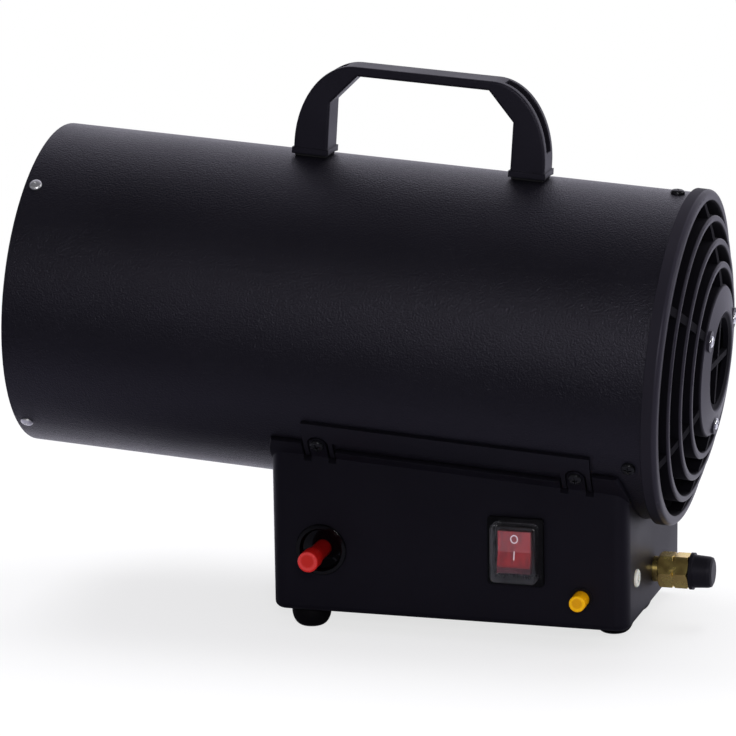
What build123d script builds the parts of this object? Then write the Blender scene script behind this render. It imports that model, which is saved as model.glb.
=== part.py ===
from build123d import *
import os
from math import acos, cos, degrees, pi, radians, sin, sqrt, tan

# Portable gas fan heater: a steel tube lies nose-up on a moulded control box that stands on
# four rubber feet. Millimetres. +X runs from the hot-air outlet to the air intake, -Y is the
# control panel, +Z is up. The origin is on the floor, under the middle of the whole heater.

# ---------------------------------------------------------------- driving dimensions
CLEAR = 0.3             # play between a curved piece and what it slips into
RUNNING = 0.05          # radial play of a shaft in its bearing
SCREW_PLAY = 0.15       # radial play round a screw shank
SEAT_PLAY = 0.02        # between a nut and the leaning wall it sits on

TILT = 3.9              # the casing's nose-up angle, degrees
AXIS_HEIGHT = 155.4     # casing axis above the floor at the intake end

CASING_R = 92.0
CASING_WALL = 1.0
CASING_LENGTH = 368.7
HEM_DEPTH = 7.0         # sheet folded back inside the outlet rim
HEM_WALL = 0.8

CHAMBER_R = 76.0
CHAMBER_WALL = 1.0
CHAMBER_SETBACK = 9.0   # from the outlet rim to the chamber's front edge
CHAMBER_FLARE = 3.0     # rolled-out lip of the chamber
BAFFLE_WALL = 1.5
BAFFLE_HOLE_R = 5.0
BAFFLE_HOLES = 12
BAFFLE_HOLE_CIRCLE_R = 60.0
BRACKET_WIDTH = 14.0
BRACKET_WALL = 1.2
BRACKET_FOOT = 11.0
RIVET_INSET = 6.3       # chamber rivets from the outlet rim
RIVET_ANGLE = 48.5      # above and below the horizontal, degrees
RIVET_HEAD_R = 3.6
RIVET_HEAD_HEIGHT = 1.6
RIVET_R = 2.0

BURNER_R = 36.0
BURNER_LENGTH = 46.0
BURNER_WALL = 1.5
BURNER_NECK_R = 13.0
BURNER_NECK_LENGTH = 16.0
BURNER_FLANGE_R = 22.0  # flat rim of the burner on the baffle
FLAME_PLATE_WALL = 1.5
FLAME_SLOTS = 16
FLAME_SLOT_WIDTH = 2.6
FLAME_HOLE_R = 1.8
NOZZLE_REACH = 8.0      # of the burner's neck over the jet
NOZZLE_TIP = 3.0        # length of the jet's cone
NOZZLE_TIP_R = 3.0
NOZZLE_SOCKET = 3.0     # depth of the pipe in the jet
NOZZLE_R = 6.0
NOZZLE_LENGTH = 22.0
NOZZLE_HEX_AF = 14.0
NOZZLE_HEX = 7.0
NOZZLE_OFFSET = 14.7      # from the riser pipe to the jet's seat
NOZZLE_BORE_R = 0.9
PIPE_R = 3.0
PIPE_BEND_R = 9.0
FEED_LENGTH = 23.0         # from the valve's port to the riser pipe
ELECTRODE_R = 3.4
ELECTRODE_LENGTH = 40.0
ELECTRODE_WIRE_R = 1.1
THERMOCOUPLE_R = 2.4
THERMOCOUPLE_LENGTH = 44.0
PROBE_ANGLE = 28.0      # either side of straight down
PROBE_CIRCLE_R = 47.0
THERMOSTAT_R = 8.0
THERMOSTAT_HEIGHT = 7.0

GRILLE_LAP = 2.5        # of the rim beyond the casing
GRILLE_FLANGE = 8.6     # axial length of the outer flange
GRILLE_FLANGE_ROUND = 3.0
GRILLE_RIM = 5.5        # radial width of the rim's face
GRILLE_RIM_DRAFT = 1.5  # rim's inner edge slopes back this far
RING_WIDTH = 4.0
RING_DEPTH = 9.0
RINGS = 3
DOME_HEIGHT = 15.2        # of the dome from the rim plane to the hub face
SPOKES = 6
SPOKE_WIDTH = 5.0
SPOKE_SETBACK = 0.9     # spokes lie this far behind the ring fronts
HUB_R = 43.0
HUB_ROUND = 1.2
HUB_DISH = 1.5          # of the face back to the hole's edge
HUB_FACE_R = 29.0       # inner edge of the dished face
HUB_HOLE_R = 24.5
HUB_WALL = 3.2
HUB_WEB = 3.6
HUB_WEB_SET = 2.0       # of the cross web behind the face
BOSS_R = 6.0            # pads under the motor screws
SPOKE_SINK = 1.5        # of the spokes into hub and rim
SPIGOT_LENGTH = 14.0
SPIGOT_WALL = 2.6
SPIGOT_SCREW_SET = 7.8  # grille screws from the casing's end
SPIGOT_SCREW_ANGLES = (90, -30, 210)

MOTOR_SCREW_CIRCLE_R = 36.0
MOTOR_SCREW_ANGLES = (30, 150, 270)
MOTOR_R = 30.0
MOTOR_LENGTH = 42.0
MOTOR_FLANGE_WALL = 2.5
MOTOR_BOSS_R = 10.0
MOTOR_BOSS_LENGTH = 4.0
MOTOR_VENTS = 10
SHAFT_R = 3.0
SHAFT_GRIP = 30.0       # length of the shaft inside the motor
FAN_R = 82.0
FAN_HUB_R = 18.0
FAN_HUB_LENGTH = 22.0
FAN_HUB_WALL = 3.0
FAN_HUB_ROUND = 2.0
FAN_BOSS_WALL = 3.0
BLADE_SINK = 1.2        # of the blade roots in the hub
FAN_GAP = 3.0           # from the motor's front boss
FAN_BLADES = 6
BLADE_THICKNESS = 1.8
BLADE_CHORD_ROOT = 30.0
BLADE_CHORD_TIP = 44.0
BLADE_PITCH_ROOT = 42.0
BLADE_PITCH_TIP = 22.0
BLADE_CAMBER = 0.07     # share of the chord

HANDLE_CENTRE = 154.9   # from the casing's intake end
HANDLE_HALF = 72.9
HANDLE_HEIGHT = 53.4      # of its top above the casing
HANDLE_WIDTH = 19.0
HANDLE_LEG = 19.8
HANDLE_BAR = 5.4
HANDLE_CORNER_ALONG = 33.0
HANDLE_CORNER_UP = 46.0
HANDLE_CHAMFER_ALONG = 15.0
HANDLE_CHAMFER_UP = 16.5
HANDLE_RAIL = 4.6       # side walls of the open back of each leg
HANDLE_GROOVE_DEPTH = 11.0
HANDLE_FOOT = 15.0      # solid block at the bottom of each leg
HANDLE_FOOT_LEDGE = 0.7
HANDLE_FOOT_LEDGE_UP = 4.5
HANDLE_ROUND = 1.2
HANDLE_PAD = 1.5
HANDLE_PAD_INSET = 0.9
HANDLE_SCREW_R = 2.5
HANDLE_SCREW_HEAD_R = 5.0
HANDLE_SCREW_HEAD = 2.4
HANDLE_SCREW_LENGTH = 12.5

BOX_LENGTH = 205.6
BOX_SETBACK = 13.8      # box's rear wall ahead of the casing's intake end
BOX_HALF_WIDTH = 67.6   # at the bottom
BOX_LEAN = 0.9          # draft of the side walls, degrees
BOX_WALL = 2.5
BOX_CORNER_R = 8.0
BOX_BOTTOM_ROUND = 4.0
LIP_WALL = 2.5          # flared lip that hugs the casing
LIP_HEIGHT = 7.7          # top of the lip above the wall's edge, round the casing
LIP_FRONT_HEIGHT = 12.5   # the same at the box's outlet end
LIP_REAR_HEIGHT = 15.4    # and at its intake end
LIP_REACH = 84.0          # the lips' corners in plan are rounded from this far out
LIP_CORNER_R = 20.0
LIP_DEPTH = 6.6          # how far the lip runs down inside the wall
TAB_FRONT_INSET = 33.9  # middle of a screw tab from the box's outlet-side wall
TAB_REAR_INSET = 24.0   # the same from its rear wall
TAB_WIDTH = 17.0
TAB_PRONG = 2.6
TAB_GAP = 0.9
TAB_HEIGHT = 17.8         # tops of the tabs
TAB_SCREW_HEIGHT = 13.3
SLOT_DEPTH = 0.3         # bottoms of the slots beside the tabs
STRAP_WALL = 2.2
STRAP_HEIGHT = 28.3
STRAP_LOW_HEIGHT = 14.7
PRONG_PLAY = 1.3        # of the strap's prongs above the slots' bottoms
WIRE_HOLE_LENGTH = 40.0
WIRE_HOLE_WIDTH = 30.0
WIRE_HOLE_ROUND = 6.0

PAN_HEAD_R = 4.0
PAN_HEAD_HEIGHT = 2.4
PAN_SHANK_R = 1.9
PAN_LENGTH = 9.0
PAN_ROUND = 1.0

FOOT_HEIGHT = 12.6
FOOT_R = 11.2
FOOT_FLAT_R = 5.0       # flat bottom of the domed foot
FOOT_DOME = 9.4         # height of its rounded part
FOOT_INSET = 18.0       # of the feet from the box's ends, and of the outlet pair from its sides
REAR_FOOT_HALF = 23.0   # half the spacing of the intake-end pair
STUD_R = 2.0
STUD_GRIP = 5.0         # length of the stud in the rubber
STUD_NUT_AF = 7.0
STUD_NUT = 3.2

BUTTON_FROM_FRONT = 29.6   # gas button, from the box's outlet-side wall
BUTTON_ABOVE = 36.8        # above the box's bottom
BUTTON_R = 5.9
BUTTON_STEM_R = 4.8
BUTTON_CAP = 10.0
BUTTON_REACH = 27.0
BUTTON_TRAVEL = 6.0
BUTTON_ROUND = 1.0
DISH_R = 14.0
DISH_FLANGE = 1.4
DISH_RIM = 1.8
DISH_LEDGE = 0.7          # of the rim beyond the hole in the wall
DISH_DEPTH = 3.0
DISH_WALL = 1.6
VALVE_WIDTH = 26.0
VALVE_DEPTH = 34.0
VALVE_HEIGHT = 40.0
VALVE_DROP = 25.0         # of the block's bottom below the button's axis
VALVE_NECK_R = 8.5
VALVE_NECK = 5.0
PORT_R = 6.0              # bosses that take the pipes
PORT_LENGTH = 4.0
VALVE_ROUND = 2.0

SWITCH_FROM_REAR = 63.1
SWITCH_ABOVE = 43.5
SWITCH_WIDTH = 32.0
SWITCH_HEIGHT = 39.0
SWITCH_FLANGE = 2.2
SWITCH_ROUND = 2.0
SWITCH_BODY_WIDTH = 23.0
SWITCH_BODY_HEIGHT = 29.0
SWITCH_BODY_DEPTH = 24.0
SWITCH_TERMINALS = 4
TERMINAL_LENGTH = 8.0
ROCKER_WIDTH = 18.6
ROCKER_HEIGHT = 23.4
ROCKER_PIVOT = 1.5        # pivot in front of the flange's face
ROCKER_REACH = 3.8
ROCKER_ANGLE = 7.0        # each way from level, degrees
ROCKER_DEPTH = 7.0
ROCKER_PIN_R = 1.2
COVER_WIDTH = 26.6
COVER_HEIGHT = 33.4
COVER_REACH = 7.0
COVER_WALL = 1.0
COVER_ROUND = 3.0

IGNITER_FROM_REAR = 26.3
IGNITER_ABOVE = 18.2
IGNITER_BUTTON_R = 4.6
IGNITER_REACH = 10.8
IGNITER_TRAVEL = 4.5
IGNITER_GRIP = 3.0        # of the plunger in the body when pressed out
IGNITER_COLLAR_R = 6.4
IGNITER_COLLAR = 0.8
IGNITER_NECK_R = 5.7
IGNITER_BODY_R = 8.0
IGNITER_BODY_LENGTH = 32.0
IGNITER_NUT_R = 10.0
IGNITER_NUT = 3.0

FITTING_ABOVE = 19.0
FITTING_COLLAR_R = 7.2
FITTING_COLLAR = 3.4
FITTING_AF = 18.2
FITTING_HEX = 17.4
FITTING_NOTCH = 1.6
FITTING_THREAD_R = 7.6
FITTING_THREAD = 11.0
FITTING_BORE_R = 3.0
FITTING_SHANK_R = 6.5
FITTING_SHANK = 14.0
FITTING_NUT = 5.0
CAP_R = 9.4
CAP_LIP_R = 10.5
CAP_LIP = 2.0
CAP_LENGTH = 13.0
CAP_WALL = 1.5
CAP_ROUND = 2.6
BUSH_FROM_SIDE = 20.6     # cord bush, from the box's side wall
BUSH_ABOVE = 26.4
BUSH_R = 5.0
BUSH_HEAD = 1.6
BUSH_SHANK_R = 3.8
BUSH_DIMPLE_R = 2.0

TERMINAL_BLOCK = (34.0, 18.0, 15.0)
TERMINAL_BLOCK_FROM_FRONT = 105.0
TERMINAL_BLOCK_SIDE = 36.0

# ---------------------------------------------------------------- sizes that follow
CASING_IN = CASING_R - CASING_WALL
GRILLE_R = CASING_R + GRILLE_LAP
GRILLE_OPEN_R = GRILLE_R - GRILLE_RIM
RING_GAP = (GRILLE_OPEN_R - HUB_R - RINGS * RING_WIDTH) / (RINGS + 1)
RIM_OPEN = GRILLE_FLANGE
HUB_FACE = GRILLE_FLANGE + DOME_HEIGHT
DOME_CURVE = (GRILLE_OPEN_R ** 2 - HUB_FACE_R ** 2) / (2 * DOME_HEIGHT)
LIP_IN_R = CASING_R + CLEAR
LIP_OUT_R = LIP_IN_R + LIP_WALL
BOX_BOTTOM = FOOT_HEIGHT
WALL_EDGE_ANGLE = -degrees(acos(BOX_HALF_WIDTH / LIP_OUT_R))
BOX_FLOOR = BOX_BOTTOM + BOX_WALL


def dome(radius):
    """Axial place of the grille's domed front at a radius from the axis."""
    return HUB_FACE - (radius ** 2 - HUB_FACE_R ** 2) / (2 * DOME_CURVE)


def up_round(rise):
    """Angle round the casing of a height measured along it from the box wall's edge."""
    return WALL_EDGE_ANGLE + degrees(rise / LIP_OUT_R)


LIP_TOP_ANGLE = up_round(LIP_HEIGHT)
LIP_FRONT_ANGLE = up_round(LIP_FRONT_HEIGHT)
LIP_REAR_ANGLE = up_round(LIP_REAR_HEIGHT)
LIP_LOW_ANGLE = up_round(-LIP_DEPTH)
TAB_TOP_ANGLE = up_round(TAB_HEIGHT)
TAB_SCREW_ANGLE = up_round(TAB_SCREW_HEIGHT)
SLOT_LOW_ANGLE = up_round(-SLOT_DEPTH)
STRAP_TOP_ANGLE = up_round(STRAP_HEIGHT)
STRAP_LOW_ANGLE = up_round(STRAP_LOW_HEIGHT)
PRONG_LOW_ANGLE = up_round(PRONG_PLAY - SLOT_DEPTH)
MOTOR_SEAT = dome(HUB_R) - RING_DEPTH - 1.0
MOTOR_SCREW_SEAT = dome(MOTOR_SCREW_CIRCLE_R - PAN_HEAD_R)
MOTOR_FRONT = MOTOR_SEAT - MOTOR_FLANGE_WALL - MOTOR_LENGTH
FAN_REAR = MOTOR_FRONT - MOTOR_BOSS_LENGTH - FAN_GAP
FAN_FRONT = FAN_REAR - FAN_HUB_LENGTH
CHAMBER_FRONT = -CASING_LENGTH + CHAMBER_SETBACK

# the outlet rim's low edge and the hub's upper screws are the heater's two ends in X
REACH_FRONT = -CASING_LENGTH * cos(radians(TILT)) - CASING_R * sin(radians(TILT))
HIGH_SCREW = MOTOR_SCREW_CIRCLE_R * sin(radians(MOTOR_SCREW_ANGLES[0])) + PAN_HEAD_R - PAN_ROUND
REACH_REAR = (MOTOR_SCREW_SEAT + PAN_HEAD_HEIGHT - PAN_ROUND) * cos(radians(TILT)) \
    + HIGH_SCREW * sin(radians(TILT)) + PAN_ROUND
CASING_END_X = -(REACH_FRONT + REACH_REAR) / 2
TUBE = Pos(CASING_END_X, 0, AXIS_HEIGHT) * Rot(0, TILT, 0)

BOX_REAR = CASING_END_X - BOX_SETBACK
BOX_FRONT = BOX_REAR - BOX_LENGTH
BOX_MID = (BOX_REAR + BOX_FRONT) / 2
TAB_PLACES = (-BOX_SETBACK - BOX_LENGTH + TAB_FRONT_INSET, -BOX_SETBACK - TAB_REAR_INSET)
BOX_HEIGHT = AXIS_HEIGHT - BOX_BOTTOM


def side_wall(height):
    """Distance of the box's side face from the middle plane, at a height above its bottom."""
    return BOX_HALF_WIDTH + height * tan(radians(BOX_LEAN))


BUTTON_X = BOX_FRONT + BUTTON_FROM_FRONT
RISER_X = BUTTON_X + VALVE_WIDTH / 2 + PORT_LENGTH + FEED_LENGTH
RISER_PLACE = (RISER_X - CASING_END_X) / cos(radians(TILT))
NOZZLE_SEAT = RISER_PLACE - NOZZLE_OFFSET
NOZZLE_START = NOZZLE_SEAT + NOZZLE_SOCKET - NOZZLE_LENGTH
CHAMBER_REAR = NOZZLE_START + NOZZLE_REACH - BURNER_NECK_LENGTH
BURNER_REAR = CHAMBER_REAR + BAFFLE_WALL
BURNER_FACE = BURNER_REAR - BURNER_LENGTH
WIRE_HOLE_PLACE = RISER_PLACE + CASING_R * tan(radians(TILT))
BUTTON_Z = BOX_BOTTOM + BUTTON_ABOVE
SWITCH_X = BOX_REAR - SWITCH_FROM_REAR
SWITCH_Z = BOX_BOTTOM + SWITCH_ABOVE
IGNITER_X = BOX_REAR - IGNITER_FROM_REAR
IGNITER_Z = BOX_BOTTOM + IGNITER_ABOVE
FITTING_Z = BOX_BOTTOM + FITTING_ABOVE
BUSH_Y = -side_wall(BUSH_ABOVE) + BUSH_FROM_SIDE
BUSH_Z = BOX_BOTTOM + BUSH_ABOVE


# ---------------------------------------------------------------- shared shapes
def turned(*profile):
    """A solid of revolution about the X axis from (along, radius) corners."""
    outline = Polyline(*[(x, r) for x, r in profile], close=True)
    return revolve(make_face(Plane.XZ * outline), Axis.X)


def rod(radius, start, end):
    """A round bar along X."""
    return Pos((start + end) / 2, 0, 0) * Rot(0, 90, 0) * Cylinder(radius, end - start)


def pipe(outer, inner, start, end):
    """A round tube along X."""
    return rod(outer, start, end) - rod(inner, start, end)


def around(along, angle):
    """A place on the casing's axis whose Z points outwards, at an angle above the -Y side."""
    return Pos(along, 0, 0) * Rot(90 - angle, 0, 0)


def sector(inner, outer, start, end, low, high):
    """Part of a tube wall between two angles, on the -Y side."""
    wall = pipe(outer, inner, start, end)
    reach = outer * 3
    corners = [(0, 0)]
    for step in range(5):
        turn = radians(low + (high - low) * step / 4)
        corners.append((-reach * cos(turn), reach * sin(turn)))
    wedge = extrude(make_face(Plane.YZ * Polyline(*corners, close=True)), end - start, dir=(1, 0, 0))
    return wall & Pos(start, 0, 0) * wedge


def both_sides(solid):
    """The solid and its mirror image across the middle plane."""
    return [solid, mirror(solid, Plane.XZ)]


def pan_screw(length, head_r=PAN_HEAD_R, head=PAN_HEAD_HEIGHT, shank=PAN_SHANK_R):
    """A pan-head screw whose head sits on Z = 0 and whose shank goes down."""
    top = fillet(Cylinder(head_r, head, align=(Align.CENTER, Align.CENTER, Align.MIN))
                 .edges().group_by(Axis.Z)[-1], PAN_ROUND)
    return top + Cylinder(shank, length, align=(Align.CENTER, Align.CENTER, Align.MAX))


def hexagon(across_flats, start, end):
    """A hexagonal bar along X with flats above and below."""
    face = Plane.YZ * RegularPolygon(across_flats / 2, 6, major_radius=False)
    bar = extrude(face, end - start, dir=(1, 0, 0))
    return Pos(start, 0, 0) * bar


def on_wall(x, z):
    """A place on the -Y side wall: Z points straight out of the leaning face, Y up it."""
    return Pos(x, -side_wall(z - BOX_BOTTOM), z) * Rot(90 + BOX_LEAN, 0, 0)


def tube_point(along, side, up):
    """A point of the casing's own frame, in the heater's frame."""
    return (TUBE * Pos(along, side, up)).position


# ---------------------------------------------------------------- casing
def outer_casing():
    """Rolled steel tube: hemmed outlet, screw holes and the hole for pipe and wires."""
    tube = turned((-CASING_LENGTH, CASING_R), (0, CASING_R), (0, CASING_IN),
                  (-CASING_LENGTH + HEM_DEPTH, CASING_IN),
                  (-CASING_LENGTH + HEM_DEPTH, CASING_IN - HEM_WALL),
                  (-CASING_LENGTH, CASING_IN - HEM_WALL))
    drill = Pos(0, 0, CASING_R) * Cylinder(PAN_SHANK_R + SCREW_PLAY, CASING_R / 2)
    for angle in SPIGOT_SCREW_ANGLES:
        tube -= around(-SPIGOT_SCREW_SET, angle) * drill
    for place in TAB_PLACES:
        for hole in both_sides(around(place, TAB_SCREW_ANGLE) * drill):
            tube -= hole
    rivet_drill = Pos(0, 0, CASING_R) * Cylinder(RIVET_R + SCREW_PLAY, CASING_R / 2)
    for angle in rivet_angles():
        tube -= around(-CASING_LENGTH + RIVET_INSET, angle) * rivet_drill
    handle_drill = Pos(0, 0, CASING_R) * Cylinder(HANDLE_SCREW_R + SCREW_PLAY, CASING_R / 2)
    for place in handle_legs():
        tube -= around(place, 90) * handle_drill
    slot = fillet(Box(WIRE_HOLE_LENGTH, WIRE_HOLE_WIDTH, CASING_R).edges().filter_by(Axis.Z), WIRE_HOLE_ROUND)
    tube -= Pos(WIRE_HOLE_PLACE, 0, -CASING_R) * slot
    return tube


def rivet_angles():
    return (RIVET_ANGLE, -RIVET_ANGLE, 180 - RIVET_ANGLE, 180 + RIVET_ANGLE)


def handle_legs():
    """Middle of each handle leg, along the casing."""
    reach = HANDLE_HALF - HANDLE_LEG / 2
    return (-HANDLE_CENTRE - reach, -HANDLE_CENTRE + reach)


def chamber_rivets():
    """Domed rivets that hold the chamber's front brackets to the casing."""
    length = CASING_WALL + HEM_WALL + BRACKET_WALL + CLEAR
    dome_head = Cylinder(RIVET_HEAD_R, RIVET_HEAD_HEIGHT, align=(Align.CENTER, Align.CENTER, Align.MIN))
    dome_head = fillet(dome_head.edges().group_by(Axis.Z)[-1], RIVET_HEAD_HEIGHT * 0.8)
    rivet = dome_head + Cylinder(RIVET_R, length, align=(Align.CENTER, Align.CENTER, Align.MAX))
    place = Pos(0, 0, CASING_R)
    return [around(-CASING_LENGTH + RIVET_INSET, a) * place * rivet for a in rivet_angles()]


# ---------------------------------------------------------------- combustion chamber
def combustion_chamber():
    """Inner steel tube with a rolled-out lip at the outlet."""
    inner = CHAMBER_R - CHAMBER_WALL
    return turned((CHAMBER_FRONT, CHAMBER_R + CHAMBER_FLARE), (CHAMBER_FRONT + 2 * CHAMBER_FLARE, CHAMBER_R),
                  (CHAMBER_REAR, CHAMBER_R), (CHAMBER_REAR, inner),
                  (CHAMBER_FRONT + 2 * CHAMBER_FLARE, inner),
                  (CHAMBER_FRONT, CHAMBER_R + CHAMBER_FLARE - CHAMBER_WALL))


def chamber_bracket(step, end, outer, rivet):
    """One stepped strap on the line Z: foot on the chamber, step, foot under the casing."""
    rise = Box(BRACKET_WALL, BRACKET_WIDTH, outer - CHAMBER_R, align=(Align.MIN, Align.CENTER, Align.MIN))
    low = Box(BRACKET_FOOT, BRACKET_WIDTH, BRACKET_WALL, align=(Align.MIN, Align.CENTER, Align.MIN))
    high = Box(step - end, BRACKET_WIDTH, BRACKET_WALL, align=(Align.MIN, Align.CENTER, Align.MAX))
    strap = Pos(step, 0, CHAMBER_R) * rise + Pos(step, 0, CHAMBER_R) * low
    strap += Pos(end, 0, outer) * high
    if rivet:
        strap -= Pos(-CASING_LENGTH + RIVET_INSET, 0, outer) * Cylinder(RIVET_R + SCREW_PLAY, BRACKET_WALL * 4)
    return strap & pipe(outer, CHAMBER_R, -CASING_LENGTH, 0)


def chamber_brackets():
    """Four straps at the outlet, riveted through the hem, and four at the burner end."""
    straps = []
    front_step = CHAMBER_FRONT + 2 * CHAMBER_FLARE + BRACKET_WALL
    rear_step = CHAMBER_REAR - 2 * BRACKET_FOOT
    for angle in rivet_angles():
        front = chamber_bracket(front_step, -CASING_LENGTH + 1, CASING_IN - HEM_WALL, True)
        rear = chamber_bracket(rear_step, rear_step - BRACKET_FOOT, CASING_IN, False)
        straps += [around(0, angle) * front, around(0, angle) * rear]
    return straps


def rear_baffle():
    """Plate behind the chamber that lets a ring of air past the burner."""
    plate = pipe(CHAMBER_R, BURNER_NECK_R + CLEAR, CHAMBER_REAR, BURNER_REAR)
    for copy in range(BAFFLE_HOLES):
        turn = (copy + 0.5) * 360 / BAFFLE_HOLES
        plate -= Rot(turn, 0, 0) * Pos(CHAMBER_REAR, 0, BAFFLE_HOLE_CIRCLE_R) * \
            Rot(0, 90, 0) * Cylinder(BAFFLE_HOLE_R, BAFFLE_WALL * 4)
    for side, radius in ((1, ELECTRODE_R), (-1, THERMOCOUPLE_R)):
        hole = rod(radius + RUNNING, CHAMBER_REAR - 1, BURNER_REAR + 1)
        plate -= Rot(side * PROBE_ANGLE + 180, 0, 0) * Pos(0, 0, PROBE_CIRCLE_R) * hole
    return plate


def burner_cup():
    """Spun burner: a neck for the gas jet that opens into a cup, with air slots in its side."""
    seat = CHAMBER_REAR
    shoulder = seat - BURNER_WALL
    wide = shoulder - (BURNER_R - BURNER_FLANGE_R)
    neck_in = BURNER_NECK_R - BURNER_WALL
    cup_in = BURNER_R - BURNER_WALL
    cup = turned((seat + BURNER_NECK_LENGTH, BURNER_NECK_R), (seat, BURNER_NECK_R), (seat, BURNER_FLANGE_R),
                 (shoulder, BURNER_FLANGE_R), (wide, BURNER_R), (BURNER_FACE, BURNER_R),
                 (BURNER_FACE, cup_in), (wide - BURNER_WALL / 2, cup_in),
                 (shoulder - BURNER_WALL / 2, BURNER_FLANGE_R - BURNER_WALL), (shoulder, neck_in),
                 (seat + BURNER_NECK_LENGTH, neck_in))
    port = Pos((wide + BURNER_FACE) / 2, 0, BURNER_R) * Rot(0, 90, 0)
    for copy in range(8):
        cup -= Rot(copy * 45 + 22.5, 0, 0) * port * Box(10, 4, 14)
    return cup


def flame_plate():
    """Slotted plate across the burner's mouth."""
    plate = rod(BURNER_R, BURNER_FACE - FLAME_PLATE_WALL, BURNER_FACE)
    slot = Box(FLAME_PLATE_WALL * 4, FLAME_SLOT_WIDTH, BURNER_R * 0.42)
    for copy in range(FLAME_SLOTS):
        turn = copy * 360 / FLAME_SLOTS
        plate -= Rot(turn, 0, 0) * Pos(BURNER_FACE, 0, BURNER_R * 0.66) * slot
        plate -= Rot(turn * 2, 0, 0) * Pos(BURNER_FACE, 0, BURNER_R * 0.3) * Rot(0, 90, 0) * \
            Cylinder(FLAME_HOLE_R, FLAME_PLATE_WALL * 4)
    return plate


def gas_nozzle():
    """Brass jet on the axis, on the end of the feed pipe."""
    end = NOZZLE_SEAT + NOZZLE_SOCKET
    body = turned((NOZZLE_START, 0), (NOZZLE_START, NOZZLE_TIP_R), (NOZZLE_START + NOZZLE_TIP, NOZZLE_R),
                  (end, NOZZLE_R), (end, 0))
    body += hexagon(NOZZLE_HEX_AF, end - NOZZLE_SOCKET - NOZZLE_HEX, end - NOZZLE_SOCKET)
    bore = rod(NOZZLE_BORE_R, NOZZLE_START - 1, NOZZLE_SEAT)
    return body - bore - rod(PIPE_R + RUNNING, NOZZLE_SEAT, end + 1)


def probe(radius, length, wire_r, wire, side):
    """A probe that stands on the baffle beside the burner, pointing to the outlet."""
    front = CHAMBER_REAR - length
    body = rod(radius, front, BURNER_REAR + 6) + rod(wire_r, front - wire, front)
    return Rot(side * PROBE_ANGLE + 180, 0, 0) * Pos(0, 0, PROBE_CIRCLE_R) * body


def spark_electrode():
    return probe(ELECTRODE_R, ELECTRODE_LENGTH, ELECTRODE_WIRE_R, 14, 1)


def thermocouple():
    return probe(THERMOCOUPLE_R, THERMOCOUPLE_LENGTH, THERMOCOUPLE_R * 0.7, 6, -1)


def overheat_thermostat():
    """Button thermostat on a small saddle inside the casing wall."""
    place = (CHAMBER_REAR + FAN_FRONT) / 2
    flat = sqrt(CASING_IN ** 2 - (THERMOSTAT_R * 1.5) ** 2)
    saddle = Box(THERMOSTAT_R * 2, THERMOSTAT_R * 3, CASING_IN - flat + 1.5,
                 align=(Align.CENTER, Align.CENTER, Align.MIN))
    saddle = (Pos(0, 0, flat - 1.5) * saddle) & Rot(0, 90, 0) * Cylinder(CASING_IN, THERMOSTAT_R * 4)
    button = Pos(0, 0, flat - 1.5) * Cylinder(THERMOSTAT_R, THERMOSTAT_HEIGHT,
                                            align=(Align.CENTER, Align.CENTER, Align.MAX))
    return around(place, 140) * (saddle + button)


# ---------------------------------------------------------------- intake grille, motor, fan
def grille_ring(outer):
    """One concentric ring: rounded front edge, flat back."""
    inner = outer - RING_WIDTH
    front = dome((outer + inner) / 2)
    back = front - RING_DEPTH
    round_r = RING_WIDTH * 0.3
    outline = [Line((back, inner), (back, outer)), Line((back, outer), (front - round_r, outer)),
               JernArc((front - round_r, outer), (1, 0), round_r, -90),
               Line((front, outer - round_r), (front, inner + round_r)),
               JernArc((front, inner + round_r), (0, -1), round_r, -90),
               Line((front - round_r, inner), (back, inner))]
    return revolve(make_face(Plane.XZ * Wire(outline)), Axis.X)


def grille_rim():
    """Outer flange over the casing's end, with the spigot that enters it."""
    spigot_out = CASING_IN - CLEAR
    spigot_in = spigot_out - SPIGOT_WALL
    corner = GRILLE_FLANGE_ROUND
    outline = [Line((-SPIGOT_LENGTH, spigot_in), (-SPIGOT_LENGTH, spigot_out)),
               Line((-SPIGOT_LENGTH, spigot_out), (0, spigot_out)), Line((0, spigot_out), (0, GRILLE_R)),
               Line((0, GRILLE_R), (RIM_OPEN - corner, GRILLE_R)),
               JernArc((RIM_OPEN - corner, GRILLE_R), (1, 0), corner, -90),
               Line((RIM_OPEN, GRILLE_R - corner), (RIM_OPEN, GRILLE_OPEN_R)),
               Line((RIM_OPEN, GRILLE_OPEN_R), (RIM_OPEN - GRILLE_RIM_DRAFT, spigot_in)),
               Line((RIM_OPEN - GRILLE_RIM_DRAFT, spigot_in), (-SPIGOT_LENGTH, spigot_in))]
    return revolve(make_face(Plane.XZ * Wire(outline)), Axis.X)


def grille_hub():
    """Dished hub with the motor's screw bosses and a cross web in its cooling hole."""
    edge = dome(HUB_R)
    back = edge - RING_DEPTH
    inner_back = edge - HUB_WALL
    hub = turned((back, HUB_R), (edge - HUB_ROUND, HUB_R), (edge, HUB_R - HUB_ROUND), (HUB_FACE, HUB_FACE_R),
                 (HUB_FACE - HUB_DISH, HUB_HOLE_R), (HUB_FACE - HUB_WALL - HUB_DISH, HUB_HOLE_R),
                 (inner_back, HUB_R - HUB_WALL), (back, HUB_R - HUB_WALL))
    for angle in MOTOR_SCREW_ANGLES:
        boss = rod(BOSS_R, MOTOR_SEAT, MOTOR_SCREW_SEAT)
        hub += Rot(90 - angle, 0, 0) * Pos(0, 0, MOTOR_SCREW_CIRCLE_R) * boss
    bar = Box(HUB_WALL, HUB_WEB, 2 * HUB_HOLE_R + HUB_WEB, align=(Align.MAX, Align.CENTER, Align.CENTER))
    hub += Pos(HUB_FACE - HUB_WEB_SET, 0, 0) * bar
    hub += Pos(HUB_FACE - HUB_WEB_SET, 0, 0) * Rot(90, 0, 0) * bar
    return hub


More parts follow.
